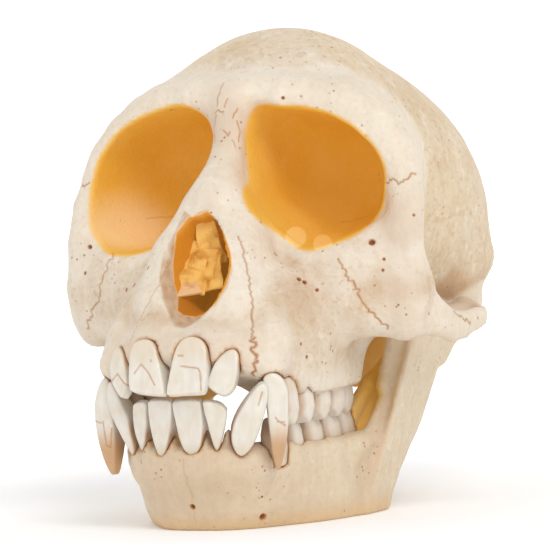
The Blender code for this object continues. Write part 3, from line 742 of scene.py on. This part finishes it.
# patches: width in mm, where the pattern starts and is full, how strong, and its colour
dryBone = {
    "face": "#DCCDB9",        # front of the face, nearly white
    "vault": "#DBC8AB",       # braincase, darker and warmer: painted shade of the sides that turn from the light
    "patches": [(15, 0.46, 0.68, 0.5, "#CDB494"), (6, 0.44, 0.7, 0.5, "#CDB087"),
                (2.0, 0.5, 0.75, 0.45, "#F2EBE0"), (1.0, 0.48, 0.7, 0.45, "#BE986A")],
    "hollow": "#BE9770",      # painted shade in the hollows and along the jaw's underside, and tan stains
    "paintedHighlight": "#EDE4D5",       # painted highlight along the ridges
    "glow": "#DFAA36",        # painted glow of light through thin bone
    "glowPale": "#E2B048",
    "cream": "#ECD09E",
    "disc": "#F3CD80",
    "amber": "#C27A1A",       # depth of the nose, a painted amber glow
    "paintedShadeUmber": "#A45E10",       # painted shade low in the nose
    "noseThrough": "#FFB040",  # light through the walls of the nose
    # socket: painted shade round the tooth necks; seam and pit: sutures and holes
    "marks": {"socket": "#BE8036", "seam": "#B26C10", "pit": "#AB5F18"},
    "streak": 0.5, "roughness": 0.52, "through": 0.14,
}
jawLook = dict(dryBone, face="#D9C5A6", vault="#D6C09B", hollow="#BA8A52", paintedHighlight="#E8DBC6", streak=0.65,
               patches=[(13, 0.46, 0.68, 0.5, "#CDB086"), (5, 0.44, 0.7, 0.5, "#C9A677"),
                        (2.0, 0.5, 0.72, 0.55, "#EDE2CF"), (1.0, 0.48, 0.7, 0.55, "#B38B58")])


def boneMaterial(name, look):
    # macerated, bleached and air-dried bone: a smooth outer table, cloudy and faintly waxy, with fine pores.
    # Thin walls let light through, painted as honey colour and glow in the orbits and amber in the nose
    material, tree, shader = blankMaterial(name)
    place = node(tree, "ShaderNodeTexCoord", out="Object")
    mask = {}
    for word in ("side", "hollow", "paintedHighlight", "paintedGlow", "pale", "disc", "nose", "deep", "socket", "seam", "pit"):
        mask[word] = node(tree, "ShaderNodeAttribute", attribute_name=word, out="Fac")
    colour = node(tree, "ShaderNodeMix", {0: mask["side"], 6: linear(look["face"]), 7: linear(look["vault"])},
                  2, data_type="RGBA")
    for k, (size, low, high, amount, patch) in enumerate(look["patches"]):
        cloud = node(tree, "ShaderNodeTexNoise",
                     {"Vector": place, "W": 3.0 * k, "Scale": 1000 / size, "Detail": 4.0, "Roughness": 0.6},
                     noise_dimensions="4D")
        cover = node(tree, "ShaderNodeMapRange", {0: cloud, 1: low, 2: high, 3: 0.0, 4: amount},
                     interpolation_type="SMOOTHSTEP")
        colour = node(tree, "ShaderNodeMix", {0: cover, 6: colour, 7: linear(patch)}, 2, data_type="RGBA")
    for word in ("hollow", "paintedHighlight"):
        colour = node(tree, "ShaderNodeMix", {0: mask[word], 6: colour, 7: linear(look[word])}, 2,
                      data_type="RGBA")
    # streaks up and down, 1.6 mm apart, strongest on the jaw
    upright = node(tree, "ShaderNodeMapping", {"Vector": place, "Scale": (1.0, 1.0, 0.12)})
    streaks = node(tree, "ShaderNodeTexNoise", {"Vector": upright, "Scale": 1000 / 1.6, "Detail": 3.0})
    shade = node(tree, "ShaderNodeMapRange", {0: streaks, 1: 0.3, 2: 0.7, 3: 0.93, 4: 1.05})
    shades = node(tree, "ShaderNodeCombineColor", {0: shade, 1: shade, 2: shade})
    colour = node(tree, "ShaderNodeMix", {0: look["streak"], 6: colour, 7: shades}, 2, data_type="RGBA",
                  blend_type="MULTIPLY")
    # open pores about 1.3 mm apart in some patches, each an orange point
    pores = node(tree, "ShaderNodeTexVoronoi", {"Vector": place, "Scale": 1000 / 1.3})
    dots = node(tree, "ShaderNodeMapRange", {0: pores, 1: 0.2, 2: 0.1}, interpolation_type="SMOOTHSTEP")
    patchy = node(tree, "ShaderNodeTexNoise", {"Vector": place, "W": 7.0, "Scale": 1000 / 6, "Detail": 2.0},
                  noise_dimensions="4D")
    porous = node(tree, "ShaderNodeMapRange", {0: patchy, 1: 0.5, 2: 0.64, 3: 0.0, 4: 0.8})
    points = node(tree, "ShaderNodeMath", {0: dots, 1: porous}, operation="MULTIPLY")
    colour = node(tree, "ShaderNodeMix", {0: points, 6: colour, 7: linear(look["marks"]["pit"])}, 2,
                  data_type="RGBA")
    # painted glow, in the colour and as emission: honey with cream patches and discs in the orbits, amber in
    # the nose, and painted shade low in the nose
    cloud = node(tree, "ShaderNodeTexNoise", {"Vector": place, "Scale": 1000 / 9, "Detail": 3.0})
    cover = node(tree, "ShaderNodeMapRange", {0: cloud, 1: 0.4, 2: 0.7}, interpolation_type="SMOOTHSTEP")
    glow = node(tree, "ShaderNodeMix", {0: cover, 6: linear(look["glow"]), 7: linear(look["glowPale"])}, 2,
                data_type="RGBA")
    for word, tint in (("pale", "cream"), ("disc", "disc"), ("nose", "amber"), ("deep", "paintedShadeUmber")):
        glow = node(tree, "ShaderNodeMix", {0: mask[word], 6: glow, 7: linear(look[tint])}, 2,
                    data_type="RGBA")
    lit = node(tree, "ShaderNodeMath", {0: mask["paintedGlow"], 1: mask["nose"]}, operation="MAXIMUM")
    colour = node(tree, "ShaderNodeMix", {0: lit, 6: colour, 7: glow}, 2, data_type="RGBA")
    through = node(tree, "ShaderNodeMix", {0: lit, 6: (0, 0, 0, 1), 7: glow}, 2, data_type="RGBA")
    through = node(tree, "ShaderNodeMix", {0: mask["nose"], 6: through, 7: linear(look["noseThrough"])}, 2,
                   data_type="RGBA")
    for word, tint in look["marks"].items():
        colour = node(tree, "ShaderNodeMix", {0: mask[word], 6: colour, 7: linear(tint)}, 2, data_type="RGBA")
    grain = node(tree, "ShaderNodeTexNoise",
                 {"Vector": place, "Scale": 1000 / 0.9, "Detail": 4.0, "Roughness": 0.6})
    bump = node(tree, "ShaderNodeBump", {"Height": grain, "Distance": 0.00022, "Strength": 0.8})
    dents = node(tree, "ShaderNodeBump",
                 {"Height": points, "Distance": 0.00015, "Strength": 0.8, "Normal": bump}, invert=True)
    sheen = node(tree, "ShaderNodeMapRange", {0: grain, 1: 0.3, 2: 0.7, 3: look["roughness"] - 0.07,
                                              4: look["roughness"] + 0.1})
    tree.links.new(colour, shader.inputs["Base Color"])
    tree.links.new(dents, shader.inputs["Normal"])
    tree.links.new(sheen, shader.inputs["Roughness"])
    tree.links.new(through, shader.inputs["Emission Color"])
    shader.inputs["Emission Strength"].default_value = look["through"]
    shader.inputs["IOR"].default_value = 1.5
    shader.inputs["Specular IOR Level"].default_value = 0.35
    shader.inputs["Subsurface Weight"].default_value = 0.12
    shader.inputs["Subsurface Radius"].default_value = (1.0, 0.55, 0.3)
    shader.inputs["Subsurface Scale"].default_value = 0.0015
    return material


papery = {"sheet": "#E0B05A", "sheetDark": "#BC7C1C", "ledge": "#D9B07E", "ledgeDark": "#B8783C", "fold": 3.0,
          "roughness": 0.6, "through": 0.16}


def paperyMaterial(name, pale, dark):
    # papery bone of the nose, thinner than card: a painted glow on the flat parts, and painted shade in the
    # folds
    material, tree, shader = blankMaterial(name)
    place = node(tree, "ShaderNodeTexCoord", out="Object")
    folds = node(tree, "ShaderNodeTexNoise", {"Vector": place, "Scale": 1000 / papery["fold"], "Detail": 4.0})
    cover = node(tree, "ShaderNodeMapRange", {0: folds, 1: 0.5, 2: 0.75}, interpolation_type="SMOOTHSTEP")
    colour = node(tree, "ShaderNodeMix", {0: cover, 6: linear(pale), 7: linear(dark)}, 2, data_type="RGBA")
    bump = node(tree, "ShaderNodeBump", {"Height": folds, "Distance": 0.0003, "Strength": 0.7})
    tree.links.new(colour, shader.inputs["Base Color"])
    tree.links.new(colour, shader.inputs["Emission Color"])
    tree.links.new(bump, shader.inputs["Normal"])
    shader.inputs["Emission Strength"].default_value = papery["through"]
    shader.inputs["Roughness"].default_value = papery["roughness"]
    return material


enamel = {"white": "#E6E0D5", "neck": "#DBCAAF", "stain": "#C4935C", "crackAndPaintedShade": "#B5762F", "roughness": 0.3}


def enamelMaterial(name, look):
    # enamel over dentine: glassy, almost white, a little yellow at the neck, finely cracked along its length
    material, tree, shader = blankMaterial(name)
    place = node(tree, "ShaderNodeTexCoord", out="Object")
    upright = node(tree, "ShaderNodeMapping", {"Vector": place, "Scale": (1.0, 1.0, 0.18)})
    lines = node(tree, "ShaderNodeTexNoise", {"Vector": upright, "Scale": 1000 / 0.9, "Detail": 3.0})
    cloud = node(tree, "ShaderNodeTexNoise", {"Vector": place, "Scale": 1000 / 2.6, "Detail": 2.0})
    cover = node(tree, "ShaderNodeMapRange", {0: cloud, 1: 0.4, 2: 0.75, 3: 0.0, 4: 0.5})
    colour = node(tree, "ShaderNodeMix", {0: cover, 6: linear(look["white"]), 7: linear(look["neck"])}, 2,
                  data_type="RGBA")
    shade = node(tree, "ShaderNodeMapRange", {0: lines, 1: 0.3, 2: 0.7, 3: 0.94, 4: 1.03})
    shades = node(tree, "ShaderNodeCombineColor", {0: shade, 1: shade, 2: shade})
    colour = node(tree, "ShaderNodeMix", {0: 1.0, 6: colour, 7: shades}, 2, data_type="RGBA",
                  blend_type="MULTIPLY")
    for word in ("neck", "stain", "crackAndPaintedShade"):
        mask = node(tree, "ShaderNodeAttribute", attribute_name=word, out="Fac")
        colour = node(tree, "ShaderNodeMix", {0: mask, 6: colour, 7: linear(look[word])}, 2, data_type="RGBA")
    bump = node(tree, "ShaderNodeBump", {"Height": lines, "Distance": 0.00006, "Strength": 0.5})
    tree.links.new(colour, shader.inputs["Base Color"])
    tree.links.new(bump, shader.inputs["Normal"])
    shader.inputs["Roughness"].default_value = look["roughness"]
    shader.inputs["IOR"].default_value = 1.55
    shader.inputs["Subsurface Weight"].default_value = 0.15
    shader.inputs["Subsurface Radius"].default_value = (1.0, 0.7, 0.45)
    shader.inputs["Subsurface Scale"].default_value = 0.0012
    return material


craniumBone = boneMaterial("dry bone of the cranium, bleached", dryBone)
jawBone = boneMaterial("dry bone of the jaw, warmer and streaked", jawLook)
paperBone = paperyMaterial("papery nose bone, light through it", papery["sheet"], papery["sheetDark"])
ledgeBone = paperyMaterial("spongy bone on the nose's floor", papery["ledge"], papery["ledgeDark"])
toothEnamel = enamelMaterial("tooth enamel, worn", enamel)


# the cranium, scored with what the photograph shows

# each line is pixels of the photograph, which fall on the bone that shows there, then its zigzag and the
# length of a wave in mm, its width and depth in mm, and how dark it is
craniumLines = [
    # sutures between cheekbone and upper jaw
    ([(336, 260), (345, 272), (352, 282), (358, 290), (362, 298), (368, 307), (374, 315), (380, 320),
      (388, 329)], 0.45, 0.9, 0.16, 0.20, 0.85),
    ([(114, 253), (107, 266), (101, 282), (99, 297), (92, 312), (87, 329)], 0.45, 0.9, 0.15, 0.18, 0.8),
    # premaxillary sutures beside the nose
    ([(239, 236), (246, 262), (250, 282), (252, 300), (253, 322), (252, 338)], 0.22, 0.8, 0.15, 0.18, 0.75),
    ([(252, 338), (255, 347), (253, 356), (259, 361), (254, 368), (251, 376)], 0.6, 0.9, 0.22, 0.3, 1.0),
    ([(170, 262), (160, 282), (150, 300), (138, 322), (128, 345)], 0.25, 0.9, 0.13, 0.12, 0.4),
    # outer rim of the orbits
    ([(386, 183), (393, 180), (400, 183), (408, 176), (416, 172)], 0.35, 0.7, 0.16, 0.2, 0.9),
    ([(82, 186), (90, 184)], 0.3, 0.7, 0.16, 0.2, 0.8),
    # seam across the cheek arch
    ([(454, 312), (463, 318), (471, 323)], 0.3, 0.8, 0.18, 0.3, 0.9),
    # cracks between the brows
    ([(224, 83), (220, 90), (217.5, 97), (217, 107)], 0.15, 1.2, 0.11, 0.1, 0.9),
    ([(227.5, 99), (226, 103), (224, 107.5)], 0.1, 1.0, 0.11, 0.1, 0.9),
    ([(215, 113), (218, 109.5), (221, 112), (224, 112)], 0.1, 1.0, 0.12, 0.12, 1.0),
    ([(216, 115), (215, 121), (214, 128), (214.5, 143)], 0.15, 1.2, 0.11, 0.1, 0.85),
    ([(237.5, 109), (235, 113), (233, 118)], 0.1, 1.0, 0.12, 0.12, 0.95),
    ([(236.7, 121), (239, 126), (240, 132), (239, 142)], 0.12, 1.2, 0.12, 0.12, 0.95),
    ([(223, 130), (226, 133), (228, 136), (230, 131)], 0.1, 1.0, 0.12, 0.1, 0.95),
    ([(232.5, 140), (234, 143), (236, 147.5)], 0.1, 1.0, 0.11, 0.1, 0.8),
    # the seam low in the right orbit and one in the left
    ([(146, 219), (155, 217), (165, 217.5), (176, 216)], 0.15, 1.6, 0.12, 0.05, 0.6),
    ([(341, 222), (352, 221), (362, 218), (372, 214)], 0.15, 1.6, 0.12, 0.05, 0.6),
]
# nerve and vessel holes: pixel, radius and depth in mm
craniumHoles = [(372, 242, 0.55, 0.9), (384, 259, 0.25, 0.4), (383, 270, 0.25, 0.4), (414, 215, 0.25, 0.4),
                (299, 279, 0.42, 0.8), (304.6, 282, 0.4, 0.8), (317, 290, 0.3, 0.5), (275.6, 254, 0.35, 0.6),
                (261, 222, 0.25, 0.4), (148, 268, 0.35, 0.6), (134, 285, 0.4, 0.8), (126.5, 290, 0.35, 0.6),
                (90, 247, 0.35, 0.6), (85, 273, 0.3, 0.5), (173, 110, 0.45, 0.7), (283, 98, 0.3, 0.4),
                (301, 344, 0.25, 0.3), (307, 357, 0.3, 0.4), (478, 318, 0.25, 0.3), (429, 314, 0.2, 0.3)]
# where the bone is stained tan: pixel, radius in mm, how strong
craniumStains = [(229, 127, 8, 1.0), (228, 150, 6, 0.6), (226, 98, 6, 0.4), (205, 200, 6, 0.3),
                 (405, 222, 8, 0.8), (400, 290, 8, 0.6), (300, 298, 8, 0.5), (318, 262, 6, 0.3),
                 (110, 310, 7, 0.2), (330, 85, 8, 0.2), (228, 165, 5, 0.3), (165, 325, 6, 0.3),
                 (345, 330, 6, 0.35), (215, 333, 6, 0.4)]
jawStains = [(220, 488, 8, 0.8), (300, 521, 9, 0.5), (170, 500, 5, 0.3), (350, 470, 7, 0.25),
             (262, 470, 5, 0.3)]
# the nose in pixels: its painted amber depth, the painted shade low in it, and the rim with its bevel
noseAmber = np.array([(184, 212), (192, 217), (199, 213), (207, 210), (213, 216), (223, 230), (231, 252),
                      (232, 266), (227, 285), (217, 302), (204, 315), (196, 317.5), (184, 316), (177, 311),
                      (178, 297), (174, 284), (172.5, 266), (176, 232)])
paintedShadeOutline = np.array([(178, 296), (188, 299), (196, 300), (208, 290), (211, 296), (203, 313), (196, 316),
                     (184, 315), (178, 311)])
noseRim = np.array([(184, 210), (176, 229), (168, 245), (161, 262), (159, 278), (163, 300), (170, 319),
                    (176, 328), (186, 328), (200, 320), (217, 303.5), (228, 287), (233, 268), (227, 245),
                    (216, 226), (208, 209), (198, 212), (192, 216)])
# pale round discs low in the left orbit: pixel and radius in pixels
orbitDiscs = [(296, 237, 10.5), (323, 244, 9.5)]
orbitPale = (128, 228)      # pixel in the middle of the cream patch in the right orbit


def holesAt(bark, places):
    # nerve and vessel holes where the photograph shows them
    hits = [(seenAt(bark, px, py), radius, deep) for px, py, radius, deep in places]
    return [(tuple(hit), radius, deep, 0.85) for hit, radius, deep in hits if hit]


def makeCranium():
    print("cranium: sculpting")
    points, quads = sculpt(craniumField, cranium["low"], cranium["high"], cranium["voxel"])
    mesh = meshOf("craniumBone", points, quads)
    print("cranium:", len(mesh.polygons), "faces")
    bark = BVHTree.FromPolygons(points.tolist(), quads.tolist())
    lines = []
    for k, (line, zigzag, size, width, depth, shade) in enumerate(craniumLines):
        lines.append((alongLine(bark, line, zigzag, size, 10 + k), width * 0.85, depth, shade * 0.85))
    # sutures of the vault; those down the left side are mirrored on the right
    vault = []
    for line in ([(0, 22, 82), (10, 24, 80), (19, 25, 73), (23, 24, 63)],
                 [(0, 22, 82), (0, 40, 80), (0, 55, 72), (0, 68, 60)],
                 [(0, 68, 60), (12, 67, 53), (20, 60, 44), (23, 54, 38)],
                 [(26, 30, 48), (27, 42, 50), (26, 52, 44), (23, 54, 38)]):
        vault.append(line)
        if line[-1][0]:
            vault.append([(-x, y, z) for x, y, z in line])
    for k, line in enumerate(vault):
        lines.append((alongLine(bark, line, 0.5, 1.0, 40 + k, photo=False), 0.13, 0.08, 0.2))
    holes = holesAt(bark, craniumHoles)
    spots = [q for line in lines for q in line[0][::3].tolist()] + [h[0] for h in holes]
    # the edges of the pale discs and of the nose's amber need fine faces too
    edges = []
    for x, y, radius in orbitDiscs:
        edges += [(x + radius * math.cos(a), y + radius * math.sin(a)) for a in np.arange(0, 6.3, 0.15)]
    for a, b in zip(noseAmber, np.roll(noseAmber, -1, 0)):
        edges += [tuple(a + (b - a) * t) for t in np.linspace(0, 1, 12)]
    hits = [seenAt(bark, *edge) for edge in edges]
    spots += [tuple(hit) for hit in hits if hit]
    subdivideNear(mesh, spots, 0.75, 2)
    score(mesh, lines, holes)
    paintBone(mesh, bark, craniumField, craniumStains)
    print("cranium:", len(mesh.polygons), "faces after the fine lines")
    return mesh


def paintBone(mesh, bark, field, stains, jaw=False):
    p = vertexArray(mesh).T.astype(np.float32)
    normals = vertexArray(mesh, "normal").T.astype(np.float32)
    # the field 3 mm off the surface tells hollows from crests, for painted shade and painted highlight
    reach = 3.0
    hollow = reach - field(p + normals * reach, teeth=False)
    paintedHighlight = reach + field(p - normals * 2 * reach, teeth=False) * 0.5
    # painted shade in the hollows and along the jaw's underside
    hollow = np.maximum(0.65 * smooth(hollow, 0.1, 1.5), 0.75 * smooth(-p[2], -6, -0.5) * jaw)
    for px, py, radius, amount in stains:
        hit = seenAt(bark, px, py)
        if hit:
            away = np.sqrt(((p - column(hit)) ** 2).sum(0)) + 1.2 * wobble(p, 3, px)
            hollow = np.maximum(hollow, amount * smooth(-away, -radius, -0.15 * radius))
    # painted highlight on the crests
    paintedHighlight = 0.5 * smooth(paintedHighlight, 0.2, 1.6)
    tooth = teethField(p, "lower" if jaw else "upper")
    # painted shade round the tooth necks, where bone meets tooth
    store(mesh, "socket", 0.75 * smooth(-tooth, -0.45, -0.15))
    paintedGlow = pale = disc = nose = deep = np.zeros(p.shape[1])
    h = half(p)
    if jaw:
        # painted shade: the back of the jaw takes the darker vault colour
        side = smooth(p[1], -15, 15)
        # painted glow and shade: orange on the front of the branch and on its inner side
        cheekFront = smooth(-limb(h, (15.4, 16, 14, 2.2), (19.6, 25, 28, 3.2)), -1.5, 0.8)
        cheekFront = cheekFront * smooth(-normals[1], -0.2, 0.5)
        inside = smooth(-normals[0] * np.sign(p[0]), 0.2, 0.7)
        paintedGlow = np.maximum(0.8 * cheekFront, 0.3 * inside)
        # painted glow along the jaw's lower edge
        edge = smooth(-p[2], -3.5, -0.5) * 0.2
        paintedGlow = np.maximum(paintedGlow, edge)
    else:
        # painted shade: the braincase takes the darker vault colour
        side = smooth(p[1] + 0.15 * np.abs(p[0]) + 5 * wobble(p, 14, 17), 4, 28)
        # painted glow over the orbits' walls, the palate and the wings behind it
        paintedGlow = 0.95 * smooth(-np.abs(orbitField(p)), -0.8, -0.3)
        palate = smooth(-np.abs(egg(p, (0, 0, 21.5), (9.6, 18, 6.5))), -1.6, -0.5)
        wings = smooth(-egg(h, (13, 27, 27), (4, 12, 9)), -1, 1)
        paintedGlow = np.maximum(paintedGlow, np.maximum(0.7 * palate, 0.8 * wings))
        pale = 0.75 * smooth(-egg(p, tuple(seenAt(bark, *orbitPale)), (7, 9, 5)), -3.5, 3.0)
        px, py = photoPlace(p)
        for x, y, radius in orbitDiscs:
            disc = np.maximum(disc, 0.7 * smooth(-np.hypot(px - x, py - y), -radius - 0.8, -radius + 0.8))
        walls = smooth(-np.abs(noseField(p)), -1.2, -0.5) * smooth(-p[1], -14, -8)
        nose = walls * smooth(-outlineDistance(px, py, noseAmber), -0.8, 1.2)
        bevel = smooth(-outlineDistance(px, py, noseRim), -1, 1.5) * (1 - nose) * smooth(-p[1], -2, 2)
        hollow = np.maximum(hollow, (0.55 + 0.3 * wobble(p, 1.6, 31)) * bevel)
        paintedHighlight = paintedHighlight * (1 - bevel)
        # painted shade low in the nose
        deep = nose * smooth(-outlineDistance(px, py, paintedShadeOutline), -1.5, 1.5)
    masks = {"side": side, "paintedGlow": paintedGlow, "pale": pale, "disc": disc, "nose": nose, "deep": deep,
             "hollow": hollow, "paintedHighlight": paintedHighlight}
    for word, values in masks.items():
        store(mesh, word, values)


def finished(mesh, name, material, slot):
    points = inMetres(vertexArray(mesh))
    mesh.vertices.foreach_set("co", points.ravel())
    mesh.update()
    return pieceOf(name, mesh, material, slot)


craniumPiece = finished(makeCranium(), "craniumBone", craniumBone, "cranium_bone")
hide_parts("cranium")


# the mandible, with its holes given as the cranium's are
jawHoles = [(192.5, 507, 0.45, 0.9), (263, 517, 0.6, 0.8), (262, 497, 0.2, 0.3)]


def makeMandible():
    print("mandible: sculpting")
    points, quads = sculpt(mandibleField, mandible["low"], mandible["high"], mandible["voxel"])
    mesh = meshOf("mandibleBone", points, quads)
    bark = BVHTree.FromPolygons(points.tolist(), quads.tolist())
    holes = holesAt(bark, jawHoles)
    seam = alongLine(bark, [(0, -20, 12), (0.3, -18, 7), (0, -14, 2)], 0.2, 1.5, 70, photo=False)
    lines = [(seam, 0.12, 0.06, 0.25)]
    spots = [q for line in lines for q in line[0][::3].tolist()] + [h[0] for h in holes]
    subdivideNear(mesh, spots, 0.75, 2)
    score(mesh, lines, holes)
    paintBone(mesh, bark, mandibleField, jawStains, jaw=True)
    print("mandible:", len(mesh.polygons), "faces")
    return mesh


mandiblePiece = finished(makeMandible(), "mandibleBone", jawBone, "mandible_bone")
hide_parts("mandible")


# teeth, each its own piece
toothVoxel = 0.2
toothBox = (4, 4.2)     # half sizes in mm of the box that holds a cheek tooth


def toothPiece(name, field, low, high, slot):
    points, quads = sculpt(field, low, high, toothVoxel)
    mesh = meshOf(name, points, quads)
    upper = name.startswith("upper")
    gumLine = (23 if "Cheek" in name else 29) if upper else 13.5
    side = 1 if upper else -1
    neck = smooth((points[:, 2] - gumLine) * side, -2.5, 1.5)
    stain = np.zeros(len(points))
    crackAndPaintedShade = np.zeros(len(points))
    if name in frontTeeth:
        tooth = frontTeeth[name]
        local = points.T - column(tooth["gum"])
        u, v = [(local * column(way)).sum(0) for way in tooth["axes"][:2]]
        rim = smooth(outlineDistance(u, v, tooth["outline"]), -0.25, 0)
        # painted shade along the outline low on the crown, then the cracks
        crackAndPaintedShade = 0.6 * rim * smooth(tooth["length"] * 0.55 - v, 0, 2)
        for line in tooth["cracks"]:
            for a, b in zip(line, line[1:]):
                away = limb(np.stack([u, v, 0 * u]).astype(np.float32), (*a, 0, 0), (*b, 0, 0))
                crackAndPaintedShade = np.maximum(crackAndPaintedShade, 0.7 * smooth(-away, -0.2, -0.05))
        if "upperCanine" in name:
            stain = 0.85 * smooth(v / tooth["length"], 0.5, 0.78)
    else:
        # painted shade in the gaps between the cheek teeth
        away = np.abs(points[:, 1] - (low[1] + high[1]) / 2) / np.ptp(points[:, 1])
        crackAndPaintedShade = 0.08 + 0.4 * smooth(away, 0.3, 0.48)
    store(mesh, "neck", 0.65 * neck)
    store(mesh, "stain", stain)
    store(mesh, "crackAndPaintedShade", crackAndPaintedShade)
    return finished(mesh, name, toothEnamel, slot)


def makeTeeth():
    made = 0
    for name, tooth in frontTeeth.items():
        low = np.array(tooth["middle"]) - tooth["reach"]
        slot = "cranium_bone" if name.startswith("upper") else "mandible_bone"
        toothPiece(name, lambda p, t=tooth: frontTooth(p, t), low, low + 2 * tooth["reach"], slot)
        made += 1
    rows = (("upper", upperCheekTeeth, upperCheekTooth, 15.5, 27, "cranium_bone"),
            ("lower", lowerCheekTeeth, lowerCheekTooth, 8.5, 20, "mandible_bone"))
    for word, sizes, shape, bottom, top, slot in rows:
        for side, sideWord in ((1, "Left"), (-1, "Right")):
            for k, (x, y, *_) in enumerate(sizes):
                def field(p, s=side, k=k, shape=shape):
                    return shape(np.stack([p[0] * s, p[1], p[2]]), k)
                low = (side * x - toothBox[0], y - toothBox[1], bottom)
                high = (side * x + toothBox[0], y + toothBox[1], top)
                toothPiece(f"{word}CheekTooth{k + 1}{sideWord}", field, low, high, slot)
                made += 1
    print("teeth:", made)


makeTeeth()


# papery bones inside the nose, each a crumpled sheet between four corners given as pixels and a depth in mm
noseBones = {
    "sheets": [[(195, 217, -7), (216, 222, -6), (226, 262, -5), (203, 268, -7)],
               [(180, 240, -8), (209, 243, -6), (204, 296, -10), (176, 286, -11)],
               [(200, 246, -6), (225, 252, -7), (223, 288, -11), (197, 294, -10)]],
    "ledge": [(170, 285, -11), (197, 283, -10), (200, 294, -11), (177, 298, -13)],
    "thickness": 0.35, "crumple": 0.6, "ledgeCrumple": 0.4,
}


def paperyBone(name, corners, crumple, seed, material):
    columns, rows = 12, 16
    a, b, c, d = [Vector(q) for q in corners]
    places = []
    for v in np.linspace(0, 1, rows + 1):
        for u in np.linspace(0, 1, columns + 1):
            places.append(a.lerp(b, u).lerp(d.lerp(c, u), v))
    points = np.array([onPlane(q.x, q.y, (0, q.z, 0), Vector((0, 1, 0))) for q in places])
    uneven = 1.5 * wobble(points.T, 4.5, seed) + 0.7 * wobble(points.T, 2.2, seed + 1)
    points[:, 1] += crumple * uneven
    points[:, 0] += 0.35 * crumple * wobble(points.T, 2.6, seed + 2)
    faces = np.array([[r * (columns + 1) + c, r * (columns + 1) + c + 1, (r + 1) * (columns + 1) + c + 1,
                       (r + 1) * (columns + 1) + c] for r in range(rows) for c in range(columns)])
    piece = pieceOf(name, meshOf(name, inMetres(points), faces), material, "cranium_bone")
    thicken = piece.modifiers.new("thickness", "SOLIDIFY")
    thicken.thickness = noseBones["thickness"] / 1000
    piece.data.polygons.foreach_set("use_smooth", [False] * len(piece.data.polygons))


for k, corners in enumerate(noseBones["sheets"]):
    paperyBone(f"noseSheet{k + 1}", corners, noseBones["crumple"], 60 + 3 * k, paperBone)
paperyBone("noseLedge", noseBones["ledge"], noseBones["ledgeCrumple"], 80, ledgeBone)


# studio: pale sweep, soft lights and the camera

# the sweep's glow close to the skull and away from it, and how far off in m it starts to rise and is full
studio = {"sweep": "#FAFAFA", "sweepGlow": (0.09, 0.3), "glowReach": (0.06, 0.2), "world": 0.69, "key": 4.2,
          "fill": 0.45}


def makeStudio():
    material, tree, shader = blankMaterial("matt paper sweep")
    shader.inputs["Base Color"].default_value = linear(studio["sweep"])
    shader.inputs["Roughness"].default_value = 0.9
    shader.inputs["Specular IOR Level"].default_value = 0.1
    shader.inputs["Emission Color"].default_value = (1, 1, 1, 1)
    place = node(tree, "ShaderNodeTexCoord", out="Object")
    away = node(tree, "ShaderNodeVectorMath", {0: place}, "Value", operation="LENGTH")
    near, far = studio["glowReach"]
    low, high = studio["sweepGlow"]
    glow = node(tree, "ShaderNodeMapRange", {0: away, 1: near, 2: far, 3: low, 4: high},
                interpolation_type="SMOOTHSTEP")
    tree.links.new(glow, shader.inputs["Emission Strength"])
    # a paper sweep: level in front, curving up behind
    back, turn = cameraTurn()
    profile = [(-3.0, 0.0), (0.6, 0.0)]
    profile += [(0.6 + 0.8 * math.sin(a), 0.8 - 0.8 * math.cos(a)) for a in np.linspace(0.1, math.pi / 2, 12)]
    profile.append((1.4, 3.0))
    work = bmesh.new()
    away = Vector((-back.x, -back.y, 0)).normalized()
    across = Vector((-away.y, away.x, 0))
    rows = [[work.verts.new(away * d + Vector((0, 0, h)) + across * s) for s in (-3, 3)] for d, h in profile]
    for a, b in zip(rows, rows[1:]):
        work.faces.new((a[0], b[0], b[1], a[1]))
    mesh = bpy.data.meshes.new("paperSweep")
    work.to_mesh(mesh)
    work.free()
    mesh.polygons.foreach_set("use_smooth", [True] * len(mesh.polygons))
    mesh.materials.append(material)
    sweep = bpy.data.objects.new("paperSweep", mesh)
    bpy.context.scene.collection.objects.link(sweep)

    world = bpy.data.worlds.new("white room")
    world.use_nodes = True
    background = world.node_tree.nodes["Background"]
    background.inputs[0].default_value = (1, 1, 1, 1)
    background.inputs[1].default_value = studio["world"]
    bpy.context.scene.world = world
    bpy.context.scene.view_settings.view_transform = "Standard"

    for name, place, size, power in (("keyLight", (0.55, -0.6, 0.75), 0.5, studio["key"]),
                                     ("fillLight", (-0.7, -0.6, 0.35), 0.8, studio["fill"])):
        lamp = bpy.data.lights.new(name, "AREA")
        lamp.energy = power
        lamp.size = size
        light = bpy.data.objects.new(name, lamp)
        light.location = place
        light.rotation_euler = (Vector((0, 0, 0.04)) - Vector(place)).to_track_quat("-Z", "Y").to_euler()
        bpy.context.scene.collection.objects.link(light)


def makeCamera():
    back, turn = cameraTurn()
    lens = bpy.data.cameras.new("photoCamera")
    lens.sensor_width = 36
    lens.lens = 36 * camera["pixelsPerMm"] * camera["distance"] / camera["frame"]
    lens.clip_start = 0.05
    eye = bpy.data.objects.new("photoCamera", lens)
    target = Vector(camera["target"]) - Vector((0, originY, 0))
    eye.location = (target + back * camera["distance"]) / 1000
    eye.rotation_mode = "QUATERNION"
    eye.rotation_quaternion = turn.to_quaternion()
    bpy.context.scene.collection.objects.link(eye)
    bpy.context.scene.camera = eye


makeStudio()
makeCamera()
print("done")
